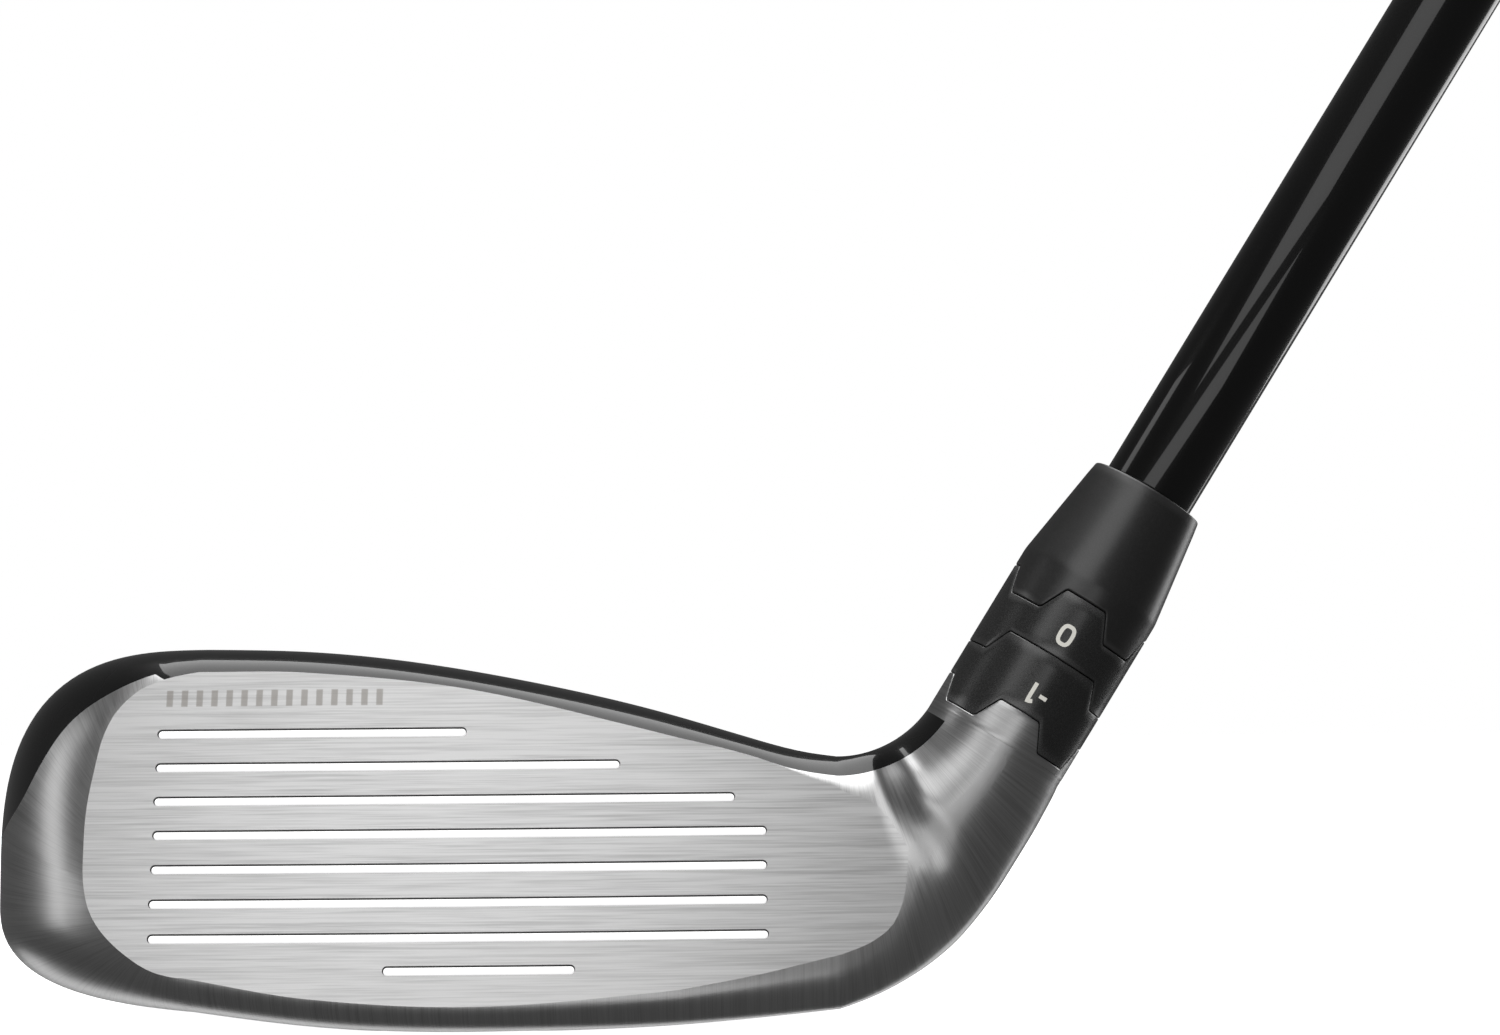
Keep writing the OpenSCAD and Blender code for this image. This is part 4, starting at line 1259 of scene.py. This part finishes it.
@dataclass
class Hosel:
    """The toothed stack at the top of the neck."""

    radius: float = 7.55
    bore: float = 5.72
    gap: float = 0.10
    side: float = 0.06
    narrow: tuple[float, float] = (3.6, 2.2)
    wide: tuple[float, float] = (5.95, 4.85)
    hosel_root: float = 33.4
    hosel_h: float = 2.7
    mid_root: float = 39.8
    mid_h: float = 2.6
    upper_root: float = 45.9
    upper_h: float = 2.8

    def rim(self, root: float, h: float, ways: int, upper_part: bool) -> Rim:
        """One rim, or the rim of the part above that meshes with it."""
        r, t = self.narrow if ways == 2 else self.wide
        if upper_part:
            base, r, t = root + self.gap, r + self.side, t + self.side
            return lambda a: base + teeth_height(a, ways, r, t, h, self.radius)
        return lambda a: root + teeth_height(a, ways, r, t, h, self.radius)

    def build_tube(self, finish: Finish) -> Piece:
        """The end of the neck, with four teeth, and its bore."""
        bore = [(6.15, 32.66), (self.bore, 32.7), (self.bore, 33.3)]
        teeth = self.rim(self.hosel_root, self.hosel_h, 2, False)
        rim = Ring(
            "hosel_rim", lambda a: 32.64, teeth, lambda s: self.radius, bore,
            bevel=0.09, brushed=True, foot=0.004)
        wall = [
            (2.35, 11.3), (3.55, 11.3), (3.55, 21.25), (6.18, 21.25), (6.18, 32.6),
            (self.bore, 32.6), (self.bore, 22.0), (2.35, 22.0)]
        top = rim.build(finish)
        return join("hosel_socket", [top, revolve("hosel_liner", wall, finish)])

    def build_cog(self, name: str, lower: Rim, upper: Rim, ring_s: float, finish: Finish) -> Piece:
        """A cog, with the groove for its O-ring in the bore."""
        b = self.bore
        groove = [(b, ring_s - 0.57), (6.745, ring_s - 0.56), (6.745, ring_s + 0.56), (b, ring_s + 0.57)]
        return Ring(name, lower, upper, lambda s: self.radius, groove).build(finish)

    def build_collar(self, finish: Finish) -> Piece:
        """The tapered collar under the shaft."""
        kink, top_s, top_r = 50.7, 61.8, 5.97

        def outer(s: float) -> float:
            slope = (top_r - self.radius) / (top_s - kink)
            t = s - kink
            e = 0.35
            soft = 0.0 if t < -e else (t + e) ** 2 / (4 * e) if t < e else t
            return self.radius + slope * soft

        bore = [(5.7, 56.04), (4.75, 56.05)]
        levels = [49.4, 50.0, 50.35, 50.55, 50.7, 50.85, 51.05, 51.4, 52.5, 55.0, 58.0, 60.5]
        teeth = self.rim(self.upper_root, self.upper_h, 2, True)
        return Ring("tapered_collar", teeth, lambda a: top_s, outer, bore, levels, bevel=0.2).build(finish)

    def build_mark(
        self, name: str, s: float, strokes: Sequence[Pairs], closed: bool, finish: Finish
    ) -> Piece:
        """A painted mark wrapped round the cog, read with the grip down.

        Args:
            name: the piece's name.
            s: the mark's middle, up the axis.
            strokes: centrelines as points across and along.
            closed: whether each stroke joins its end to its start.
            finish: the paint.

        Returns:
            The new piece.
        """
        maker = MeshMaker()
        half, raised = 0.2, self.radius + 0.018
        for stroke in strokes:
            path = list(stroke) + ([stroke[0]] if closed else [])
            dense: list[tuple[float, float]] = []
            for p, q in zip(path, path[1:]):
                count = max(1, math.ceil(math.dist(p, q) / 0.25))
                dense += [(mix(p[0], q[0], k / count), mix(p[1], q[1], k / count)) for k in range(count)]
            if not closed:
                dense.append(path[-1])
            n = len(dense)
            rows = []
            for k, (x, up) in enumerate(dense):
                a = dense[(k - 1) % n] if closed or k else dense[0]
                b = dense[(k + 1) % n] if closed or k < n - 1 else dense[-1]
                dx, dz = b[0] - a[0], b[1] - a[1]
                size = math.hypot(dx, dz) or 1.0
                nx, nz = -dz / size, dx / size
                row = []
                for side in (-half, 0.0, half):
                    turn = math.asin((x + nx * side) / raised) - math.pi / 2
                    row.append(maker.point(around(s + (up + nz * side), raised, turn)))
                low = []
                for side in (half, 0.0, -half):
                    turn = math.asin((x + nx * side) / self.radius) - math.pi / 2
                    low.append(maker.point(around(s + up + nz * side, self.radius - 0.15, turn)))
                rows.append(row + low + row[:1])
            if closed:
                rows.append(rows[0])
            else:
                for row in (rows[0], rows[-1]):
                    maker.face(row[:-1])
            maker.grid(rows)
        return maker.make(name, [finish])


def join(name: str, pieces: Sequence[Piece]) -> Piece:
    """Join pieces that share their materials into one mesh."""
    work = bmesh.new()
    for piece in pieces:
        work.from_mesh(piece.data)
    finishes = list(pieces[0].data.materials)
    mesh = bpy.data.meshes.new(name)
    work.to_mesh(mesh)
    work.free()
    for piece in pieces:
        bpy.data.objects.remove(piece)
    return finish_mesh(name, mesh, finishes)


# ---------------------------------------------------------------------------
# Shaft and grip
# ---------------------------------------------------------------------------
@dataclass
class Shaft:
    """The graphite shaft, the grip and its cap."""

    tip_r: float = 4.7
    butt_r: float = 7.62
    tip_s: float = 33.25
    taper_s: float = 150.0
    end_s: float = 1018.5
    length: float = 1022.0
    grip_s: float = 754.0
    cap_t: float = 3.0

    def radius(self, s: float) -> float:
        """Outer radius of the shaft."""
        if s < self.taper_s:
            return self.tip_r
        return mix(self.tip_r, self.butt_r, (s - self.taper_s) / (self.end_s - self.taper_s))

    def build_shaft(self, finish: Finish) -> Piece:
        """The tapered tube."""
        out = [(self.tip_r - 0.04, self.tip_s), (self.tip_r - 0.04, 61.7)]
        out += [(self.tip_r, 61.8), (self.tip_r, 100.0)]
        out += [(self.radius(s), s) for s in spread(self.taper_s, self.end_s, 60.0)]
        bore_r = self.tip_r - 1.5
        inner = [(self.butt_r - 1.05, self.end_s), (bore_r, self.taper_s), (bore_r, self.tip_s)]
        return revolve("graphite_shaft", out + inner, finish, 128)

    def grip_r(self, s: float) -> float:
        """Outer radius of the grip."""
        top = self.length - self.cap_t
        table = Blend([
            (self.grip_s, 8.05), (self.grip_s + 20, 8.6), (self.grip_s + 130, 9.6),
            (top - 48, 11.4), (top - 16, 12.3), (top - 3, 13.5), (top, 13.55)])
        return table(s)

    def build_grip(self, finish: Finish) -> Piece:
        """The grip's body, with a rolled mouth and turned rings."""
        top = self.length - self.cap_t
        out: list[tuple[float, float]] = [
            (self.radius(self.grip_s) + 0.17, self.grip_s), (7.6, self.grip_s),
            (7.95, self.grip_s + 0.4), (8.05, self.grip_s + 1.0)]
        grooves = [self.grip_s + k for k in (6.0, 9.0, 12.0)] + [top - k for k in (8.0, 12.0)]
        s = self.grip_s + 1.4
        while s < top - 1.0:
            r = self.grip_r(s) - 0.02
            out.append((r - (0.35 if any(abs(s - g) < 0.5 for g in grooves) else 0.0), s))
            s += 0.6 if s < self.grip_s + 16 or s > top - 16 else 4.0
        out += [(13.55, top - 0.5), (13.4, top)]
        inner = [(self.radius(top) + 0.17, top), (self.radius(self.grip_s) + 0.17, self.grip_s + 1)]
        return revolve("rubber_grip", out + inner, finish, 96, 50.0)

    def build_pads(self, finish: Finish) -> Piece:
        """Raised diamonds over the grip, one instance at each point of a staggered net."""
        points: list[Point] = []
        normals: list[Point] = []
        sizes: list[Point] = []
        rows = spread(self.grip_s + 20.0, self.length - 24.0, 4.4)
        for n, s in enumerate(rows):
            for k in range(16):
                a = math.tau * (k + 0.5 * (n % 2)) / 16
                points.append(tuple(c * MM for c in around(s, self.grip_r(s) - 0.12, a)))
                out = around(0.0, 1.0, a)
                foot = on_axis(0.0)
                normals.append(tuple(out[i] - foot[i] for i in range(3)))
                sizes.append(tuple(c * self.grip_r(s) / 9.6 for c in (1.0, 1.0, 1.0)))
        mesh = bpy.data.meshes.new("grip_pads")
        mesh.from_pydata(points, [], [])
        layer = mesh.attributes.new("out", "FLOAT_VECTOR", "POINT")
        layer.data.foreach_set("vector", [c for n in normals for c in n])
        size = mesh.attributes.new("size", "FLOAT_VECTOR", "POINT")
        size.data.foreach_set("vector", [c for n in sizes for c in n])
        piece = add_object("grip_pads", mesh)
        pad_size = {"Width": 0.00105, "Length": 0.0017, "Height": 0.00034}
        return grow(piece, pad_tree(finish), pad_size, [finish])

    def build_cap(self, finish: Finish) -> Piece:
        """The cap, with its vent hole and two turned grooves."""
        base = self.length - self.cap_t + 0.02
        t = self.cap_t - 0.02
        profile = [(1.3, base), (13.5, base), (13.55, base + 0.3), (13.5, base + 1.2)]
        profile += [(13.1, base + 1.9), (12.4, base + 2.4), (10.6, base + t)]
        profile += [(10.1, base + t), (9.9, base + t - 0.35), (9.5, base + t - 0.35), (9.3, base + t)]
        profile += [(4.2, base + t), (4.0, base + t - 0.3), (3.7, base + t - 0.3), (3.5, base + t)]
        profile += [(1.5, base + t), (1.3, base + t - 0.2)]
        return revolve("grip_cap", profile, finish, 96, 40.0)


def pad_tree(finish: Finish) -> bpy.types.NodeTree:
    """A four sided pad with a flat top on every point, its height along the point's out vector."""
    labels = ("Width", "Length", "Height")
    g = Grower("grip_pads", [(label, "NodeSocketFloat") for label in labels])
    width, length, height = (g.start.outputs[label] for label in labels)
    cone = g.node("GeometryNodeMeshCone", None, {
        "Vertices": 4, "Side Segments": 1, "Radius Top": 0.62, "Radius Bottom": 1.0, "Depth": 1.0})
    size = g.node("ShaderNodeCombineXYZ", None, {0: width, 1: length, 2: height})
    pad = g.node("GeometryNodeTransform", None, {"Geometry": cone.outputs[0], "Scale": size.outputs[0]})
    out = g.node("GeometryNodeInputNamedAttribute", {"data_type": "FLOAT_VECTOR"}, {"Name": "out"})
    scale = g.node("GeometryNodeInputNamedAttribute", {"data_type": "FLOAT_VECTOR"}, {"Name": "size"})
    axes = {"primary_axis": "Z", "secondary_axis": "Y"}
    turn = g.node("FunctionNodeAxesToRotation", axes, {0: out.outputs[0], 1: ALONG})
    placed = g.node("GeometryNodeInstanceOnPoints", None, {
        "Points": g.start.outputs[0], "Instance": pad.outputs[0],
        "Rotation": turn.outputs[0], "Scale": scale.outputs[0]})
    return g.finish(placed.outputs[0], finish)


# ---------------------------------------------------------------------------
# Screws
# ---------------------------------------------------------------------------
@dataclass(frozen=True)
class ScrewShape:
    """A screw's head, shank and socket: radii, heights and length."""

    head_r: float
    head_h: float
    shank_r: float
    total: float
    socket_r: float
    socket_h: float


@dataclass
class Screws:
    """The hosel screw, and the rear weight with its port."""

    socket_points: int = 6

    def lobed(self, radius: float, depth: float, angle: float) -> float:
        """Radius of a six-lobed socket at an angle."""
        return radius * (1.0 - depth * (0.5 - 0.5 * math.cos(self.socket_points * angle)))

    def build_hosel_screw(self, finish: Finish) -> Piece:
        """A socket screw with a bevelled head and a threaded shank."""
        shape = ScrewShape(head_r=3.9, head_h=3.0, shank_r=2.24, total=24.2, socket_r=1.75, socket_h=2.2)
        return self._screw("hosel_screw_body", lambda z, r, a: around(7.6 + z, r, a), shape, finish)

    def build_weight(self, finish: Finish) -> Piece:
        """The rear weight, a broad screw with a socket."""
        def place(z: float, r: float, a: float) -> Point:
            return port_place(r * math.cos(a), r * math.sin(a), 0.4 + z)

        shape = ScrewShape(head_r=6.05, head_h=3.3, shank_r=2.96, total=7.0, socket_r=2.15, socket_h=2.2)
        return self._screw("rear_weight", place, shape, finish)

    def _screw(
        self, name: str, place: Callable[[float, float, float], Point], shape: "ScrewShape", finish: Finish
    ) -> Piece:
        """Build a screw whose socket faces down from z = 0."""
        head_r, head_h, shank_r, total = shape.head_r, shape.head_h, shape.shank_r, shape.total
        socket_r, socket_h = shape.socket_r, shape.socket_h
        count = 96
        maker = MeshMaker()
        columns = []
        for k in range(count):
            a = math.tau * k / count
            s = self.lobed(socket_r, 0.22, a)
            column = [(socket_h, 0.0), (socket_h, s - 0.1), (socket_h - 0.12, s), (0.25, s), (0.0, s + 0.2)]
            column += [(0.0, head_r * 0.72), (0.12, head_r * 0.76), (0.12, head_r * 0.82)]
            column += [(0.0, head_r * 0.86), (0.0, head_r - 0.4), (0.12, head_r - 0.12), (0.4, head_r)]
            column += [(head_h - 0.15, head_r), (head_h, head_r - 0.15), (head_h, shank_r)]
            z = head_h + 0.8
            while z < total - 0.6:
                column += [(z, shank_r), (z + 0.25, shank_r - 0.22), (z + 0.5, shank_r)]
                z += 0.5
            column += [(total - 0.3, shank_r), (total, shank_r - 0.3), (total, 0.0)]
            columns.append([maker.point(place(zz, r, a)) for zz, r in column])
        maker.grid(columns + columns[:1])
        return maker.make(name, [finish], 30.0)

    def build_port(self, finish: Finish) -> Piece:
        """The threaded cup around the weight."""
        profile = rounded([(8.0, 0.2), (8.0, 8.7), (3.0, 8.7), (3.0, 3.8), (6.1, 3.8), (6.1, 0.2)], 0.25, 3)
        maker = MeshMaker()
        columns = [
            [maker.point(port_place(r * math.cos(a), r * math.sin(a), z)) for r, z in profile]
            for a in steps(0, math.tau, 96)[:-1]]
        maker.grid([c + c[:1] for c in columns] + [columns[0] + columns[0][:1]])
        return maker.make("weight_port_cup", [finish], 30.0)


# ---------------------------------------------------------------------------
# Studio
# ---------------------------------------------------------------------------
@dataclass(frozen=True)
class Lamp:
    """A soft rectangular light, whose glow is the brightness of its own surface.

    The azimuth runs from the front towards the heel and the elevation up from the floor, in degrees.
    """

    name: str
    azimuth: float
    elevation: float
    width: float
    height: float
    glow: float
    distance: float = 0.9

    def place(self) -> Vector:
        """Where the light stands."""
        a, e = math.radians(self.azimuth), math.radians(self.elevation)
        return Vector((math.sin(a) * math.cos(e), -math.cos(a) * math.cos(e), math.sin(e))) * self.distance


@dataclass
class Studio:
    """Camera, pale floor and backdrop, and soft lights."""

    lamps: tuple[Lamp, ...] = (
        Lamp("key", -10.0, 33.0, 0.60, 0.58, 1.2),
        Lamp("front_low", -10.0, -4.0, 0.90, 0.26, 1.2),
        Lamp("left_wall", -88.0, 16.0, 0.24, 0.62, 1.4),
        Lamp("overhead", 90.0, 84.0, 1.1, 1.0, 2.6),
        Lamp("right_rim", 128.0, 10.0, 0.30, 0.8, 2.0),
        Lamp("low_back", 180.0, -28.0, 1.6, 0.24, 1.1),
    )

    def build(self) -> None:
        """Make everything around the club."""
        self._camera()
        for lamp in self.lamps:
            self._light(lamp)
        self._world()
        self._stage()
        bpy.context.scene.view_settings.view_transform = "Standard"

    def _camera(self) -> None:
        """A level camera close in front of the head."""
        data = bpy.data.cameras.new("camera")
        data.lens, data.sensor_width = 85.0, 36.0
        data.clip_start, data.clip_end = 0.01, 50.0
        camera = add_object("camera", data)
        tilt, roll = math.radians(3.4), math.radians(0.5)
        forward = Vector((0.0, math.cos(tilt), math.sin(tilt)))
        right, up = Vector((1.0, 0.0, 0.0)), Vector((0.0, -math.sin(tilt), math.cos(tilt)))
        turned = right * math.cos(roll) - up * math.sin(roll)
        raised = up * math.cos(roll) + right * math.sin(roll)
        basis = Matrix((turned, raised, -forward)).transposed().to_4x4()
        camera.matrix_world = Matrix.Translation((0.0271, -0.3554, 0.0292)) @ basis
        bpy.context.scene.camera = camera

    def _light(self, lamp: Lamp) -> None:
        """Add one area light."""
        data = bpy.data.lights.new(lamp.name, "AREA")
        data.shape = "RECTANGLE"
        data.size, data.size_y = lamp.width, lamp.height
        data.energy = lamp.glow * math.pi * lamp.width * lamp.height
        light = add_object(lamp.name, data)
        place = lamp.place()
        light.location = place
        light.rotation_euler = (-place).to_track_quat("-Z", "Y").to_euler()

    def _world(self) -> None:
        """A dim grey surround."""
        world = bpy.data.worlds.new("surround")
        world.use_nodes = True
        tree = Tree(world.node_tree)
        dim = {"Color": (0.08, 0.08, 0.08, 1.0), "Strength": 1.0}
        background = tree.node("ShaderNodeBackground", None, dim)
        tree.node("ShaderNodeOutputWorld", None, {0: background.outputs[0]})
        bpy.context.scene.world = world

    def _stage(self) -> None:
        """A pale floor and a white backdrop all around."""
        white = bpy.data.materials.new("backdrop_white")
        white.use_nodes = True
        tree = Tree(white.node_tree)
        glow = tree.node("ShaderNodeEmission", None, {"Color": (1.0, 1.0, 1.0, 1.0), "Strength": 1.0})
        tree.node("ShaderNodeOutputMaterial", None, {0: glow.outputs[0]})
        dome = bmesh.new()
        bmesh.ops.create_icosphere(dome, subdivisions=5, radius=12.0)
        bmesh.ops.reverse_faces(dome, faces=dome.faces)
        mesh = bpy.data.meshes.new("backdrop")
        dome.to_mesh(mesh)
        dome.free()
        mesh.materials.append(white)
        backdrop = add_object("backdrop", mesh)
        backdrop.visible_diffuse = backdrop.visible_glossy = backdrop.visible_shadow = False
        backdrop.visible_transmission = False
        pale = new_finish("floor_pale", lambda t: {
            "Base Color": (0.92, 0.92, 0.92, 1.0), "Roughness": 0.9,
            "Emission Color": (1.0, 1.0, 1.0, 1.0), "Emission Strength": 1.0})
        plane = bpy.data.meshes.new("floor")
        corners = [(x, y, -0.0002) for x, y in ((-9, -9), (9, -9), (9, 9), (-9, 9))]
        plane.from_pydata(corners, [], [(0, 1, 2, 3)])
        plane.materials.append(pale)
        floor = add_object("floor", plane)
        floor.visible_glossy = floor.visible_shadow = floor.visible_diffuse = False


# ---------------------------------------------------------------------------
# The club
# ---------------------------------------------------------------------------
def settle(piece: Piece, body: str, slot: str, *nodes: str) -> None:
    """Put a finished piece on its body in place of its nodes, and report it."""
    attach(piece, body)
    if nodes:
        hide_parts(*nodes)
    LOG.info("%s: %d faces on %s", piece.name, len(piece.data.polygons), body)


def dress_node(node: str, finish: Finish) -> None:
    """Give a carried-over node its finish."""
    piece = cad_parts[node]
    piece.data.materials.clear()
    piece.data.materials.append(finish)
    LOG.info("%s: finish %s", node, finish.name)


def squared(part: float) -> float:
    """A sine or cosine pushed outwards, so that an oval gets fuller corners."""
    return math.copysign(abs(part) ** 0.7, part)


def build_club() -> None:
    """Build and dress every sub-assembly, in order from the head to the cap."""
    steel = BrushedSteel("steel_brushed_over", Brushing.OVER_EDGE, 0.60, 0.33).make()
    face = EtchedFace("steel_face", Brushing.ACROSS_FACE, 0.63, 0.36).make()
    cast = Turned("steel_cast", (0.42, 0.42, 0.43), 0.45, 1.0, 900.0).make()
    # Near-black steel for the score-line grooves: painted shade standing in for the shadow inside the narrow
    # grooves.
    groove = Turned("groove_painted_shade", (0.05, 0.05, 0.05), 0.6, 0.6).make()
    lacquer = Lacquer("crown_black", 0.006).make()
    shaft_black = Lacquer("shaft_black", 0.004, 0.25).make()
    # The white infill glows at 0.85 on top of its colour: painted light that brightens the score lines.
    white = Paint("line_white_painted_glow", (0.98, 0.98, 0.98), 0.5, 0.85).make()
    # The pale marks glow at 0.5 on top of their colour: painted light that brightens them.
    mark = Paint("mark_pale_painted_glow", (0.66, 0.65, 0.60), 0.5, 0.5).make()
    cog_black = Anodised("cog_black", 0.038, 0.27, 0.3).make()
    collar_black = Anodised("collar_black", 0.018, 0.32, 0.0, 0.05).make()
    rubber = Rubber("grip_rubber", (0.014, 0.014, 0.015)).make()
    oxide = Turned("black_oxide", (0.10, 0.10, 0.11), 0.33).make()
    machined = Turned("machined_steel", (0.55, 0.55, 0.56), 0.3).make()

    head = Head()
    settle(head.build_casting(steel, cast), "head", "brushed_steel_body", "head_body")
    settle(head.build_crown(lacquer), "head", "gloss_black_crown", "crown")
    settle(head.build_face(face, groove), "head", "brushed_face", "face_cup")
    settle(head.build_lines(white), "head", "white_fill", "score_line_paint")

    hosel = Hosel()
    settle(hosel.build_tube(steel), "head", "brushed_steel_body", "hosel_tube")
    lower = hosel.rim(hosel.hosel_root, hosel.hosel_h, 2, True)
    upper = hosel.rim(hosel.mid_root, hosel.mid_h, 1, False)
    loft = hosel.build_cog("loft_cog_ring", lower, upper, 38.0, cog_black)
    settle(loft, "loft_cog", "black_anodised", "loft_cog")
    lower = hosel.rim(hosel.mid_root, hosel.mid_h, 1, True)
    upper = hosel.rim(hosel.upper_root, hosel.upper_h, 2, False)
    lie = hosel.build_cog("lie_cog_ring", lower, upper, 44.2, cog_black)
    settle(lie, "lie_cog", "black_anodised", "lie_cog")
    settle(hosel.build_collar(collar_black), "shaft_assembly", "black_collar", "collar")
    one = [[(0.0, 1.05), (0.0, -1.0), (0.5, -0.75)], [(0.85, 0.05), (1.65, 0.05)]]
    settle(hosel.build_mark("loft_mark", 38.3, one, False, mark), "loft_cog", "pale_mark", "loft_cog_mark")
    turns = steps(0, math.tau, 28)[:-1]
    nought = [(0.62 * squared(math.cos(a)), 0.95 * squared(math.sin(a))) for a in turns]
    settle(hosel.build_mark("lie_mark", 44.8, [nought], True, mark), "lie_cog", "pale_mark", "lie_cog_mark")

    screws = Screws()
    settle(screws.build_hosel_screw(oxide), "hosel_screw", "dark_screw", "hosel_screw")
    settle(screws.build_weight(oxide), "head", "dark_screw", "rear_weight_screw")
    settle(screws.build_port(machined), "head", "raw_steel", "weight_port")

    shaft = Shaft()
    settle(shaft.build_shaft(shaft_black), "shaft_assembly", "gloss_black_shaft", "shaft")
    settle(shaft.build_grip(rubber), "shaft_assembly", "grip_rubber", "grip")
    settle(shaft.build_pads(rubber), "shaft_assembly", "grip_rubber")
    settle(shaft.build_cap(rubber), "shaft_assembly", "grip_rubber", "butt_cap")

    dress_node("toe_stiffening_bar", cast)
    dress_node("heel_stiffening_bar", cast)
    dress_node("internal_weight", Turned("tungsten", (0.30, 0.29, 0.28), 0.5, 1.0, 1500.0).make())
    dress_node("screw_washer", machined)
    dress_node("screw_retainer", Rubber("seal_rubber", (0.02, 0.02, 0.02), 0.6).make())
    dress_node("loft_cog_o_ring", bpy.data.materials["seal_rubber"])
    dress_node("lie_cog_o_ring", bpy.data.materials["seal_rubber"])
    dress_node("adapter_sleeve", Turned("sleeve_aluminium", (0.78, 0.78, 0.80), 0.28, 1.0, 1800.0).make())
    dress_node("tip_weight", Turned("plug_brass", (0.72, 0.55, 0.26), 0.3).make())
    dress_node("grip_tape", Weave("tape_weave", (0.78, 0.75, 0.66)).make())


def main() -> None:
    """Build the club and its studio."""
    logging.basicConfig(level=logging.INFO, format="%(name)s %(message)s")
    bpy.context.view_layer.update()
    build_club()
    Studio().build()


if __name__ == "__main__":
    main()
